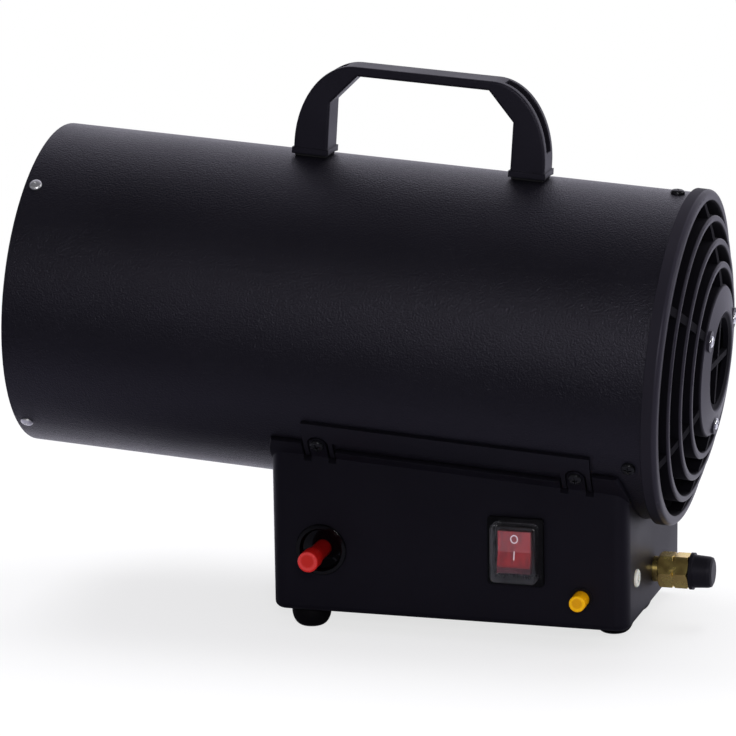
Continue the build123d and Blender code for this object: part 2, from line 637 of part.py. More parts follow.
def rear_grille():
    """Domed intake grille: rim, concentric rings, radial spokes and hub in one moulding."""
    grille = grille_rim() + grille_hub()
    for ring in range(1, RINGS + 1):
        grille += grille_ring(GRILLE_OPEN_R + RING_WIDTH - ring * (RING_GAP + RING_WIDTH))
    inner, outer = HUB_R - SPOKE_SINK, GRILLE_OPEN_R + SPOKE_SINK / 2
    steps = 6
    front = [(dome(inner + (outer - inner) * n / steps) - SPOKE_SETBACK, inner + (outer - inner) * n / steps)
             for n in range(steps + 1)]
    back = [(along - RING_DEPTH + 2 * SPOKE_SETBACK, radius) for along, radius in reversed(front)]
    spoke = make_face(Plane.XZ * Polyline(*(front + back), close=True))
    spoke = extrude(spoke, SPOKE_WIDTH / 2, both=True)
    for copy in range(SPOKES):
        grille += Rot(copy * 360 / SPOKES, 0, 0) * spoke
    drill = Pos(0, 0, CASING_R) * Cylinder(PAN_SHANK_R + SCREW_PLAY, CASING_R / 2)
    for angle in SPIGOT_SCREW_ANGLES:
        grille -= around(-SPIGOT_SCREW_SET, angle) * drill
    for angle in MOTOR_SCREW_ANGLES:
        hole = rod(PAN_SHANK_R + SCREW_PLAY, MOTOR_SEAT - 1, HUB_FACE + PAN_HEAD_HEIGHT)
        grille -= Rot(90 - angle, 0, 0) * Pos(0, 0, MOTOR_SCREW_CIRCLE_R) * hole
    return grille


def grille_screws():
    screw = Pos(0, 0, CASING_R) * pan_screw(PAN_LENGTH)
    return [around(-SPIGOT_SCREW_SET, angle) * screw for angle in SPIGOT_SCREW_ANGLES]


def motor_screws():
    """Three screws through the grille's hub into the motor's flange."""
    length = MOTOR_SCREW_SEAT - MOTOR_SEAT + MOTOR_FLANGE_WALL + 1
    screw = Pos(MOTOR_SCREW_SEAT, 0, 0) * Rot(0, 90, 0) * pan_screw(length)
    return [Rot(90 - angle, 0, 0) * Pos(0, 0, MOTOR_SCREW_CIRCLE_R) * screw for angle in MOTOR_SCREW_ANGLES]


def fan_motor():
    """Vented can motor: mounting flange at the hub, bearing boss towards the fan."""
    flange = rod(HUB_R - HUB_WALL - 1, MOTOR_SEAT - MOTOR_FLANGE_WALL, MOTOR_SEAT)
    for angle in MOTOR_SCREW_ANGLES:
        hole = rod(PAN_SHANK_R + SCREW_PLAY, MOTOR_SEAT - 4, MOTOR_SEAT + 1)
        flange -= Rot(90 - angle, 0, 0) * Pos(0, 0, MOTOR_SCREW_CIRCLE_R) * hole
    can = rod(MOTOR_R, MOTOR_FRONT, MOTOR_SEAT - MOTOR_FLANGE_WALL)
    can = fillet(can.edges().group_by(Axis.X)[0], 3)
    motor = flange + can + rod(MOTOR_BOSS_R, MOTOR_FRONT - MOTOR_BOSS_LENGTH, MOTOR_FRONT + 1)
    vent = Box(5, 3.2, 14)
    for copy in range(MOTOR_VENTS):
        turn = copy * 360 / MOTOR_VENTS
        motor -= Rot(turn, 0, 0) * Pos(MOTOR_SEAT, 0, MOTOR_R * 0.5) * vent
    mouth = MOTOR_FRONT - MOTOR_BOSS_LENGTH
    return motor - rod(SHAFT_R + RUNNING, mouth - 1, mouth + SHAFT_GRIP + CLEAR)


def motor_shaft():
    end = MOTOR_FRONT - MOTOR_BOSS_LENGTH + SHAFT_GRIP
    return rod(SHAFT_R, FAN_FRONT, end)


def blade_section(radius, chord, pitch):
    """Cambered blade section on a plane square to the radius Z."""
    half = chord / 2
    camber = chord * BLADE_CAMBER
    outer = ThreePointArc((-half, 0), (0, camber + BLADE_THICKNESS / 2), (half, 0))
    inner = ThreePointArc((half, 0), (0, camber - BLADE_THICKNESS / 2), (-half, 0))
    section = make_face([outer, inner])
    return Pos(0, 0, radius) * Rot(0, 0, 90 - pitch) * section


def fan_impeller():
    """Axial fan: cup hub on the motor's shaft and twisted, cambered blades."""
    middle = (FAN_FRONT + FAN_REAR) / 2
    cup = rod(FAN_HUB_R, FAN_FRONT, FAN_REAR) - rod(FAN_HUB_R - FAN_HUB_WALL, FAN_FRONT + FAN_HUB_WALL, FAN_REAR + 1)
    cup = fillet(cup.edges().group_by(Axis.X)[0], FAN_HUB_ROUND)
    cup += rod(SHAFT_R + FAN_BOSS_WALL, FAN_FRONT + FAN_HUB_WALL / 2, FAN_REAR)
    root, tip = FAN_HUB_R - BLADE_SINK, FAN_R
    sections = []
    for step in range(3):
        share = step / 2
        sections.append(blade_section(root + (tip - root) * share,
                                      BLADE_CHORD_ROOT + (BLADE_CHORD_TIP - BLADE_CHORD_ROOT) * share,
                                      BLADE_PITCH_ROOT + (BLADE_PITCH_TIP - BLADE_PITCH_ROOT) * share))
    blade = loft(sections)
    trim = rod(FAN_R, FAN_FRONT, FAN_REAR) - rod(FAN_HUB_R - BLADE_SINK, FAN_FRONT - 1, FAN_REAR + 1)
    blade = (Pos(middle, 0, 0) * blade) & trim
    for copy in range(FAN_BLADES):
        cup += Rot(copy * 360 / FAN_BLADES, 0, 0) * blade
    return cup - rod(SHAFT_R, FAN_FRONT - 1, FAN_REAR + 1)


# ---------------------------------------------------------------- carrying handle
def handle_outline(top, half, leg, low):
    """Side view of the handle, legs reaching down to the height low."""
    shoulder = top - HANDLE_CORNER_UP
    flat = half - HANDLE_CORNER_ALONG
    inner = half - leg
    under = top - HANDLE_BAR
    chamfer_low = under - HANDLE_CHAMFER_UP
    return [Line((-half, low), (-half, shoulder)),
            EllipticalCenterArc((-flat, shoulder), HANDLE_CORNER_ALONG, HANDLE_CORNER_UP, 90, arc_size=90),
            Line((-flat, top), (flat, top)),
            EllipticalCenterArc((flat, shoulder), HANDLE_CORNER_ALONG, HANDLE_CORNER_UP, 0, arc_size=90),
            Line((half, shoulder), (half, low)), Line((half, low), (inner, low)),
            Line((inner, low), (inner, chamfer_low)),
            Line((inner, chamfer_low), (inner - HANDLE_CHAMFER_ALONG, under)),
            Line((inner - HANDLE_CHAMFER_ALONG, under), (-inner + HANDLE_CHAMFER_ALONG, under)),
            Line((-inner + HANDLE_CHAMFER_ALONG, under), (-inner, chamfer_low)),
            Line((-inner, chamfer_low), (-inner, low)), Line((-inner, low), (-half, low))]


def carry_handle():
    """Moulded arch handle: solid bar and feet, legs open at the back between two side walls."""
    top = CASING_R + HANDLE_HEIGHT
    low = CASING_R - 4
    face = make_face(Plane.XZ * Wire(handle_outline(top, HANDLE_HALF, HANDLE_LEG, low)))
    handle = extrude(face, HANDLE_WIDTH / 2, both=True)
    sides = handle.faces().filter_by(Axis.Y)
    handle = fillet(sides.edges(), HANDLE_ROUND)
    outer_half = HANDLE_HALF - HANDLE_GROOVE_DEPTH
    groove_top = top - HANDLE_GROOVE_DEPTH
    span = 4 * HANDLE_HALF
    shoulder = top - HANDLE_CORNER_UP
    flat = HANDLE_HALF - HANDLE_CORNER_ALONG
    foot_top = CASING_R + HANDLE_FOOT
    core = make_face(Plane.XZ * Wire([
        Line((flat, foot_top), (outer_half, foot_top)), Line((outer_half, foot_top), (outer_half, shoulder)),
        EllipticalCenterArc((flat, shoulder), HANDLE_CORNER_ALONG - HANDLE_GROOVE_DEPTH,
                            HANDLE_CORNER_UP - HANDLE_GROOVE_DEPTH, 0, arc_size=90),
        Line((flat, groove_top), (flat, foot_top))]))
    keep = extrude(core, HANDLE_WIDTH, both=True)
    width = HANDLE_WIDTH - 2 * HANDLE_RAIL
    window = Pos(flat + 6, 0, foot_top) * Box(span, width, span, align=(Align.MIN, Align.CENTER, Align.MIN))
    groove = window - keep
    handle -= groove
    handle -= mirror(groove, Plane.YZ)
    ledge = Box(HANDLE_LEG + 2 * HANDLE_FOOT_LEDGE, HANDLE_WIDTH + 2 * HANDLE_FOOT_LEDGE,
                HANDLE_FOOT_LEDGE_UP + 4, align=(Align.CENTER, Align.CENTER, Align.MIN))
    saddle = Rot(0, 90, 0) * Cylinder(CASING_R + HANDLE_PAD, span)
    hole = Cylinder(HANDLE_SCREW_R + SCREW_PLAY, 2 * HANDLE_SCREW_LENGTH)
    for place in handle_legs():
        handle += Pos(place + HANDLE_CENTRE, 0, low) * ledge
    handle -= saddle
    for place in handle_legs():
        handle -= Pos(place + HANDLE_CENTRE, 0, CASING_R) * hole
    return Pos(-HANDLE_CENTRE, 0, 0) * handle


def handle_pads():
    """Rubber pads between the handle's feet and the casing."""
    pads = []
    for place in handle_legs():
        pad = Box(HANDLE_LEG - 2 * HANDLE_PAD_INSET, HANDLE_WIDTH - 2 * HANDLE_PAD_INSET, 12)
        pad = Pos(0, 0, CASING_R) * pad & (Rot(0, 90, 0) * (Cylinder(CASING_R + HANDLE_PAD, 60) - Cylinder(CASING_R, 61)))
        pad -= Pos(0, 0, CASING_R) * Cylinder(HANDLE_SCREW_R + SCREW_PLAY, 20)
        pads.append(Pos(place, 0, 0) * pad)
    return pads


def handle_screws():
    """Screws that come up from inside the casing into the handle's feet."""
    screw = Rot(180, 0, 0) * pan_screw(HANDLE_SCREW_LENGTH, HANDLE_SCREW_HEAD_R, HANDLE_SCREW_HEAD, HANDLE_SCREW_R)
    flat = sqrt(CASING_IN ** 2 - HANDLE_SCREW_HEAD_R ** 2)
    return [Pos(place, 0, flat) * screw for place in handle_legs()]


# ---------------------------------------------------------------- control box
def box_block(inset, bottom, top, corner):
    """Tapered block of the box's plan, drawn in by inset."""
    faces = []
    for z in (bottom, top):
        half = side_wall(z - BOX_BOTTOM) - inset
        plan = RectangleRounded(BOX_LENGTH - 2 * inset, 2 * half, corner)
        faces.append(Pos(BOX_MID, 0, z) * plan)
    return loft(faces)


def tab_outline(width, top_angle, low_angle):
    """Arched tab seen square to the casing: round top, straight sides, cut through the wall."""
    turn = (top_angle + low_angle) / 2
    reach = radians(top_angle - low_angle) * LIP_OUT_R / 2
    crown = Pos(0, reach - width / 2, 0) * Cylinder(width / 2, 40)
    shaft = Pos(0, -width / 4, 0) * Box(width, 2 * reach - width / 2, 40)
    return turn, Pos(0, 0, LIP_OUT_R) * (crown + shaft)


def tab_cutter(place, width, top_angle, low_angle):
    turn, shape = tab_outline(width, top_angle, low_angle)
    return around(place, turn) * shape


def box_lip():
    """Flared lip of the box that hugs one flank of the casing, with its screw tabs."""
    start, end = -BOX_LENGTH - BOX_SETBACK - 30, 10
    lip = sector(LIP_IN_R, LIP_OUT_R, start, end, LIP_LOW_ANGLE, LIP_TOP_ANGLE)
    tab_in = TAB_WIDTH - 2 * (TAB_PRONG + TAB_GAP)
    first = TAB_PLACES[0] - TAB_WIDTH / 2 - TAB_GAP
    lip += sector(LIP_IN_R, LIP_OUT_R, start, first, LIP_TOP_ANGLE - 1, LIP_FRONT_ANGLE)
    last = TAB_PLACES[1] + TAB_WIDTH / 2 + TAB_GAP
    lip += sector(LIP_IN_R, LIP_OUT_R, last, end, LIP_TOP_ANGLE - 1, LIP_REAR_ANGLE)
    for place in TAB_PLACES:
        shell = sector(LIP_IN_R, LIP_OUT_R, place - TAB_WIDTH, place + TAB_WIDTH, LIP_LOW_ANGLE, TAB_TOP_ANGLE + 2)
        lip += shell & tab_cutter(place, tab_in, TAB_TOP_ANGLE, LIP_LOW_ANGLE)
    lip = TUBE * lip
    outline = RectangleRounded(BOX_LENGTH, 2 * LIP_REACH, LIP_CORNER_R)
    return lip & extrude(Pos(BOX_MID, 0, BOX_BOTTOM) * outline, 2 * BOX_HEIGHT)


def box_half():
    """The -Y half of the tray, with its lip, before the openings are cut."""
    box = box_block(0, BOX_BOTTOM, AXIS_HEIGHT, BOX_CORNER_R)
    box = fillet(box.faces().sort_by(Axis.Z)[0].edges(), BOX_BOTTOM_ROUND)
    box -= box_block(BOX_WALL, BOX_FLOOR, AXIS_HEIGHT + 1, BOX_CORNER_R - BOX_WALL)
    box -= TUBE * rod(LIP_IN_R, -CASING_LENGTH, 60)
    half_space = Box(2 * BOX_LENGTH, 4 * BOX_HALF_WIDTH, 4 * BOX_HEIGHT, align=(Align.CENTER, Align.MAX, Align.CENTER))
    box &= Pos(BOX_MID, 0, 0) * half_space
    box += box_lip()
    box -= TUBE * tab_slots()
    return box - TUBE * tab_screw_holes()


def control_box():
    """Moulded tray: walls with draft, rounded corners, lips and tabs that hang it on the casing."""
    near = box_half()
    box = near + mirror(near, Plane.XZ)
    box -= on_wall(BUTTON_X, BUTTON_Z) * Cylinder(DISH_R + CLEAR, 12)
    box -= on_wall(SWITCH_X, SWITCH_Z) * Box(SWITCH_BODY_WIDTH + 2 * CLEAR, SWITCH_BODY_HEIGHT + 2 * CLEAR, 12)
    box -= on_wall(IGNITER_X, IGNITER_Z) * Cylinder(IGNITER_NECK_R + CLEAR, 12)
    box -= Pos(BOX_REAR, 0, FITTING_Z) * Rot(0, 90, 0) * Cylinder(FITTING_SHANK_R + CLEAR, 12)
    box -= Pos(BOX_REAR, BUSH_Y, BUSH_Z) * Rot(0, 90, 0) * Cylinder(BUSH_SHANK_R + CLEAR, 12)
    for x, y in foot_places():
        box -= Pos(x, y, BOX_BOTTOM) * Cylinder(STUD_R + SCREW_PLAY, 12)
    return box


def tab_slots():
    """Slots beside the tabs for the strap's prongs."""
    cuts = None
    tab_in = TAB_WIDTH - 2 * (TAB_PRONG + TAB_GAP)
    for place in TAB_PLACES:
        wide = sector(CASING_R - 12, LIP_OUT_R + 8, place - TAB_WIDTH / 2 - TAB_GAP, place + TAB_WIDTH / 2 + TAB_GAP,
                      SLOT_LOW_ANGLE, STRAP_TOP_ANGLE)
        wide -= tab_cutter(place, tab_in, TAB_TOP_ANGLE, LIP_LOW_ANGLE)
        cuts = wide if cuts is None else cuts + wide
    return cuts


def tab_screw_holes():
    cuts = None
    for place in TAB_PLACES:
        hole = around(place, TAB_SCREW_ANGLE) * Pos(0, 0, LIP_OUT_R) * Cylinder(PAN_SHANK_R + SCREW_PLAY, 30)
        cuts = hole if cuts is None else cuts + hole
    return cuts


def box_screws():
    """Screws through the tabs into the casing, two on each side."""
    screw = Pos(0, 0, LIP_OUT_R) * pan_screw(PAN_LENGTH)
    near = [around(place, TAB_SCREW_ANGLE) * screw for place in TAB_PLACES]
    return near + [mirror(one, Plane.XZ) for one in near]


def locating_strap():
    """Steel strap on one flank of the casing; its prongs stand either side of each box tab."""
    inner, outer = CASING_R, CASING_R + STRAP_WALL
    start = TAB_PLACES[0] - TAB_WIDTH / 2
    end = TAB_PLACES[1] + TAB_WIDTH / 2
    strap = sector(inner, outer, start, end, STRAP_LOW_ANGLE, STRAP_TOP_ANGLE)
    tab_out = TAB_WIDTH - 2 * TAB_PRONG
    for place in TAB_PLACES:
        strap += sector(inner, outer, place - TAB_WIDTH / 2, place + TAB_WIDTH / 2,
                        PRONG_LOW_ANGLE, STRAP_LOW_ANGLE + 1)
    for place in TAB_PLACES:
        arch_top = TAB_TOP_ANGLE + degrees(TAB_GAP / LIP_OUT_R)
        strap -= tab_cutter(place, tab_out, arch_top, LIP_LOW_ANGLE)
    return strap


# ---------------------------------------------------------------- feet
def foot_places():
    """The outlet pair stands near the corners, the intake pair closer together."""
    reach = BOX_LENGTH / 2 - FOOT_INSET
    wide = BOX_HALF_WIDTH - FOOT_INSET
    front = [(BOX_MID - reach, side * wide) for side in (-1, 1)]
    return front + [(BOX_MID + reach, side * REAR_FOOT_HALF) for side in (-1, 1)]


def rubber_feet():
    """Domed rubber feet, each moulded round a threaded stud."""
    outline = [Line((0, 0), (FOOT_FLAT_R, 0)),
               EllipticalCenterArc((FOOT_FLAT_R, FOOT_DOME), FOOT_R - FOOT_FLAT_R, FOOT_DOME, -90, arc_size=90),
               Line((FOOT_R, FOOT_DOME), (FOOT_R, FOOT_HEIGHT)), Line((FOOT_R, FOOT_HEIGHT), (0, FOOT_HEIGHT)),
               Line((0, FOOT_HEIGHT), (0, 0))]
    foot = revolve(make_face(Plane.XZ * Wire(outline)), Axis.Z)
    foot -= Pos(0, 0, FOOT_HEIGHT) * Cylinder(STUD_R + RUNNING, 2 * STUD_GRIP)
    return [Pos(x, y, 0) * foot for x, y in foot_places()]


def foot_studs():
    """Threaded studs from the feet up through the box's floor."""
    length = STUD_GRIP + BOX_WALL + STUD_NUT + 2
    stud = Cylinder(STUD_R, length, align=(Align.CENTER, Align.CENTER, Align.MIN))
    return [Pos(x, y, FOOT_HEIGHT - STUD_GRIP) * stud for x, y in foot_places()]


def foot_nuts():
    """Nuts on the studs, inside the box."""
    nut = extrude(RegularPolygon(STUD_NUT_AF / 2, 6, major_radius=False), STUD_NUT, dir=(0, 0, 1))
    nut -= Cylinder(STUD_R + RUNNING, 4 * STUD_NUT)
    return [Pos(x, y, BOX_FLOOR) * nut for x, y in foot_places()]


# ---------------------------------------------------------------- controls
def gas_button():
    """Red push button: a cap on a thinner stem."""
    inside = DISH_DEPTH + 6 + BUTTON_TRAVEL
    cap = Pos(0, 0, BUTTON_REACH) * Cylinder(BUTTON_R, BUTTON_CAP, align=(Align.CENTER, Align.CENTER, Align.MAX))
    cap = fillet(cap.edges().group_by(Axis.Z)[-1], BUTTON_ROUND)
    stem = Pos(0, 0, -inside) * Cylinder(BUTTON_STEM_R, BUTTON_REACH + inside - BUTTON_CAP / 2,
                                         align=(Align.CENTER, Align.CENTER, Align.MIN))
    return on_wall(BUTTON_X, BUTTON_Z) * (cap + stem)


def gas_button_dish():
    """Glossy black dish set in the wall round the gas button."""
    floor = -DISH_DEPTH
    bore = BUTTON_STEM_R + CLEAR
    side = [(bore, floor), (DISH_R - DISH_RIM - 1.2, floor + 1.6), (DISH_R - DISH_RIM, DISH_FLANGE),
            (DISH_R + DISH_LEDGE, DISH_FLANGE), (DISH_R + DISH_LEDGE, 0), (DISH_R, 0),
            (DISH_R, floor - DISH_WALL), (bore, floor - DISH_WALL)]
    dish = revolve(make_face(Plane.XZ * Polyline(*side, close=True)), Axis.Z)
    return on_wall(BUTTON_X, BUTTON_Z) * fillet(dish.edges().group_by(Axis.Z)[-1], 0.5)


def valve_face():
    """Near face of the valve block, in Y."""
    return -side_wall(BUTTON_ABOVE) + DISH_DEPTH + DISH_WALL + VALVE_NECK


def gas_valve():
    """Cast brass valve block behind the gas button, with its inlet and outlet ports."""
    block = Box(VALVE_WIDTH, VALVE_DEPTH, VALVE_HEIGHT, align=(Align.CENTER, Align.MIN, Align.MIN))
    block = fillet(block.edges().filter_by(Axis.Y), VALVE_ROUND)
    valve = Pos(BUTTON_X, valve_face(), BUTTON_Z - VALVE_DROP) * block
    neck = Cylinder(VALVE_NECK_R, VALVE_NECK + 2, align=(Align.CENTER, Align.CENTER, Align.MAX))
    valve += on_wall(BUTTON_X, BUTTON_Z) * Pos(0, 0, -DISH_DEPTH - DISH_WALL) * neck
    boss = Rot(0, 90, 0) * Cylinder(PORT_R, PORT_LENGTH + 1, align=(Align.CENTER, Align.CENTER, Align.MAX))
    for port in (valve_outlet(), valve_inlet()):
        valve += Pos(*port) * boss
    travel = DISH_DEPTH + 6 + 2 * BUTTON_TRAVEL + 2 * CLEAR
    bore = on_wall(BUTTON_X, BUTTON_Z) * Cylinder(BUTTON_STEM_R + CLEAR, travel,
                                                  align=(Align.CENTER, Align.CENTER, Align.MAX))
    return valve - bore


def valve_outlet():
    """Where the feed pipe leaves the valve."""
    return (BUTTON_X + VALVE_WIDTH / 2 + PORT_LENGTH, valve_face() + VALVE_DEPTH / 2, BUTTON_Z)


def valve_inlet():
    """Where the inlet pipe enters the valve."""
    return (BUTTON_X + VALVE_WIDTH / 2 + PORT_LENGTH, valve_face() + VALVE_DEPTH / 2, FITTING_Z)


def bent_pipe(points, bend):
    """Round pipe through points, with tangent bends."""
    path = FilletPolyline(*points, radius=bend)
    start = Plane(origin=path @ 0, z_dir=path % 0)
    return sweep(start * Circle(PIPE_R), path=path)


def inlet_pipe():
    """Steel pipe inside the box, from the inlet fitting to the valve."""
    start = (BOX_REAR - BOX_WALL - FITTING_SHANK, 0, FITTING_Z)
    end = valve_inlet()
    turn = end[0] + 2 * PIPE_BEND_R
    return bent_pipe([start, (turn, 0, FITTING_Z), (turn, end[1], FITTING_Z), end], PIPE_BEND_R)


def feed_pipe():
    """Pipe from the valve up through the casing to the gas nozzle on the axis."""
    start = valve_outlet()
    jet = tube_point(NOZZLE_SEAT, 0, 0)
    top = tube_point(RISER_PLACE, 0, 0)
    points = [start, (RISER_X, start[1], start[2]), (RISER_X, 0, start[2]), (RISER_X, 0, top.Z),
              (jet.X, 0, jet.Z)]
    return bent_pipe(points, PIPE_BEND_R)


def switch_housing():
    """Rocker switch body clipped in the wall, with its flange, rocker well and terminals."""
    flange = Box(SWITCH_WIDTH, SWITCH_HEIGHT, SWITCH_FLANGE, align=(Align.CENTER, Align.CENTER, Align.MIN))
    flange = fillet(flange.edges().filter_by(Axis.Z), SWITCH_ROUND)
    body = Box(SWITCH_BODY_WIDTH, SWITCH_BODY_HEIGHT, SWITCH_BODY_DEPTH, align=(Align.CENTER, Align.CENTER, Align.MAX))
    switch = flange + body
    well = Box(ROCKER_WIDTH + 2 * CLEAR, ROCKER_HEIGHT + 6 * CLEAR, 2 * (ROCKER_DEPTH + 1.5))
    switch -= Pos(0, 0, SWITCH_FLANGE) * well
    for n in range(SWITCH_TERMINALS):
        sx, sy = (n % 2) - 0.5, (n // 2) - 0.5
        blade = Box(6.3, 0.8, TERMINAL_LENGTH, align=(Align.CENTER, Align.CENTER, Align.MAX))
        switch += Pos(sx * 11, sy * 14, -SWITCH_BODY_DEPTH + 0.5) * blade
    pin_hole = Pos(0, 0, SWITCH_FLANGE - ROCKER_PIVOT) * Rot(0, 90, 0) * \
        Cylinder(ROCKER_PIN_R + RUNNING, ROCKER_WIDTH + 3.6)
    return on_wall(SWITCH_X, SWITCH_Z) * (switch - pin_hole)


def switch_rocker():
    """Red rocker with two shallow faces that meet at the middle, on its own pivot pins."""
    rise = ROCKER_REACH
    half = ROCKER_HEIGHT / 2
    pivot = SWITCH_FLANGE - ROCKER_PIVOT
    slope = half * tan(radians(ROCKER_ANGLE))
    side = [(-half, SWITCH_FLANGE + rise), (0, SWITCH_FLANGE + rise - slope), (half, SWITCH_FLANGE + rise),
            (half, pivot - 1), (half * 0.45, SWITCH_FLANGE - ROCKER_DEPTH),
            (-half * 0.45, SWITCH_FLANGE - ROCKER_DEPTH), (-half, pivot - 1)]
    rocker = extrude(make_face(Plane.YZ * Polyline(*side, close=True)), ROCKER_WIDTH / 2, both=True)
    pin = Pos(0, 0, pivot) * Rot(0, 90, 0) * Cylinder(ROCKER_PIN_R, ROCKER_WIDTH + 3)
    tip = Pos(0, 0, pivot) * Rot(-ROCKER_ANGLE, 0, 0) * Pos(0, 0, -pivot)
    return on_wall(SWITCH_X, SWITCH_Z) * tip * (rocker + pin)


def switch_cover():
    """Clear soft cover over the rocker, clipped on the switch's flange."""
    base = Pos(0, 0, SWITCH_FLANGE)
    outer = Box(COVER_WIDTH, COVER_HEIGHT, COVER_REACH, align=(Align.CENTER, Align.CENTER, Align.MIN))
    outer = fillet(outer.edges().filter_by(Axis.Z), COVER_ROUND)
    outer = fillet(outer.edges().group_by(Axis.Z)[-1], COVER_ROUND * 0.5)
    inner = Box(COVER_WIDTH - 2 * COVER_WALL, COVER_HEIGHT - 2 * COVER_WALL, COVER_REACH - COVER_WALL,
                align=(Align.CENTER, Align.CENTER, Align.MIN))
    inner = fillet(inner.edges().filter_by(Axis.Z), COVER_ROUND - COVER_WALL)
    return on_wall(SWITCH_X, SWITCH_Z) * base * (outer - inner)


def igniter_body():
    """Piezo igniter: a barrel behind the wall, its neck through it, a thin collar in front."""
    collar = Cylinder(IGNITER_COLLAR_R, IGNITER_COLLAR, align=(Align.CENTER, Align.CENTER, Align.MIN))
    neck = Cylinder(IGNITER_NECK_R, BOX_WALL + IGNITER_NUT + 3, align=(Align.CENTER, Align.CENTER, Align.MAX))
    barrel = Pos(0, 0, -BOX_WALL - IGNITER_NUT - 1) * Cylinder(IGNITER_BODY_R, IGNITER_BODY_LENGTH,
                                                               align=(Align.CENTER, Align.CENTER, Align.MAX))
    body = collar + neck + barrel
    depth = 2 * IGNITER_TRAVEL + IGNITER_GRIP
    body -= Pos(0, 0, IGNITER_COLLAR) * Cylinder(IGNITER_BUTTON_R + CLEAR, depth + IGNITER_COLLAR,
                                                 align=(Align.CENTER, Align.CENTER, Align.MAX))
    return on_wall(IGNITER_X, IGNITER_Z) * body


def igniter_button():
    """Yellow igniter button, a plain plunger that slides in the body."""
    inside = IGNITER_TRAVEL + IGNITER_GRIP - CLEAR
    button = Pos(0, 0, -inside) * Cylinder(IGNITER_BUTTON_R, IGNITER_REACH + inside,
                                           align=(Align.CENTER, Align.CENTER, Align.MIN))
    button = fillet(button.edges().group_by(Axis.Z)[-1], 0.8)
    return on_wall(IGNITER_X, IGNITER_Z) * button


def igniter_nut():
    nut = Cylinder(IGNITER_NUT_R, IGNITER_NUT) - Cylinder(IGNITER_NECK_R + RUNNING, 2 * IGNITER_NUT)
    return on_wall(IGNITER_X, IGNITER_Z) * Pos(0, 0, -BOX_WALL - IGNITER_NUT / 2 - SEAT_PLAY) * nut


# ---------------------------------------------------------------- gas inlet and rear wall
def inlet_fitting():
    """Brass bulkhead fitting: collar, notched left-hand hexagon, threaded end and shank."""
    hex_start = FITTING_COLLAR
    hex_end = hex_start + FITTING_HEX
    end = hex_end + FITTING_THREAD
    corner = FITTING_AF / 2 / cos(pi / 6)
    hexa = hexagon(FITTING_AF, hex_start, hex_end)
    hexa &= turned((hex_start, 0), (hex_start, FITTING_AF / 2), (hex_start + 1, corner), (hex_end - 1, corner),
                   (hex_end, FITTING_AF / 2), (hex_end, 0))
    middle = (hex_start + hex_end) / 2
    hexa -= turned((middle - FITTING_NOTCH, corner + 1), (middle, FITTING_AF / 2 + 0.1),
                   (middle + FITTING_NOTCH, corner + 1))
    fitting = rod(FITTING_COLLAR_R, 0, hex_start) + hexa + rod(FITTING_THREAD_R, hex_end, end)
    fitting += rod(FITTING_SHANK_R, -BOX_WALL - FITTING_SHANK, 0)
    bore_start = -BOX_WALL - FITTING_SHANK
    fitting -= rod(FITTING_BORE_R, bore_start - 1, end + 1)
    return Pos(BOX_REAR, 0, FITTING_Z) * fitting


def inlet_nut():
    """Lock nut on the fitting's shank inside the box."""
    nut = hexagon(FITTING_AF + 2, -BOX_WALL - FITTING_NUT, -BOX_WALL)
    return Pos(BOX_REAR, 0, FITTING_Z) * (nut - rod(FITTING_SHANK_R + RUNNING, -BOX_WALL - 2 * FITTING_NUT, 0))


def inlet_cap():
    """Push-on rubber dust cap with a lip."""
    start = FITTING_COLLAR + FITTING_HEX + CLEAR
    inner = FITTING_THREAD_R + CLEAR
    end = start + CAP_LENGTH
    tip = end - CAP_ROUND
    cap = turned((start, CAP_LIP_R), (start + CAP_LIP, CAP_LIP_R), (start + CAP_LIP, CAP_R),
                 (tip, CAP_R - 0.5), (end - CAP_ROUND * 0.3, CAP_R - CAP_ROUND * 0.4), (end, CAP_R - CAP_ROUND),
                 (end, 0), (end - CAP_WALL, 0), (end - CAP_WALL, inner), (start, inner))
    return Pos(BOX_REAR, 0, FITTING_Z) * cap


def cord_bush():
    """Pale nylon bush of the cord's entry, with a blind dimple."""
    head = rod(BUSH_R, 0, BUSH_HEAD)
    head = fillet(head.edges().group_by(Axis.X)[-1], 0.9)
    bush = head + rod(BUSH_SHANK_R, -BOX_WALL - 6, 0) - rod(BUSH_DIMPLE_R, -4, BUSH_HEAD + 1)
    return Pos(BOX_REAR, BUSH_Y, BUSH_Z) * bush


def terminal_block():
    """Terminal strip on the box's floor."""
    length, depth, height = TERMINAL_BLOCK
    block = Box(length, depth, height, align=(Align.CENTER, Align.CENTER, Align.MIN))
    for n in range(4):
        well = Cylinder(2.4, 6, align=(Align.CENTER, Align.CENTER, Align.MAX))
        block -= Pos((n - 1.5) * length / 4.4, 0, height + 1) * well
    return Pos(BOX_FRONT + TERMINAL_BLOCK_FROM_FRONT, TERMINAL_BLOCK_SIDE, BOX_FLOOR) * block


# ---------------------------------------------------------------- the parts
def in_tube(shape):
    """Place one solid, or a list of them, in the tilted casing frame."""
    if isinstance(shape, list):
        return [TUBE * one for one in shape]
    return TUBE * shape


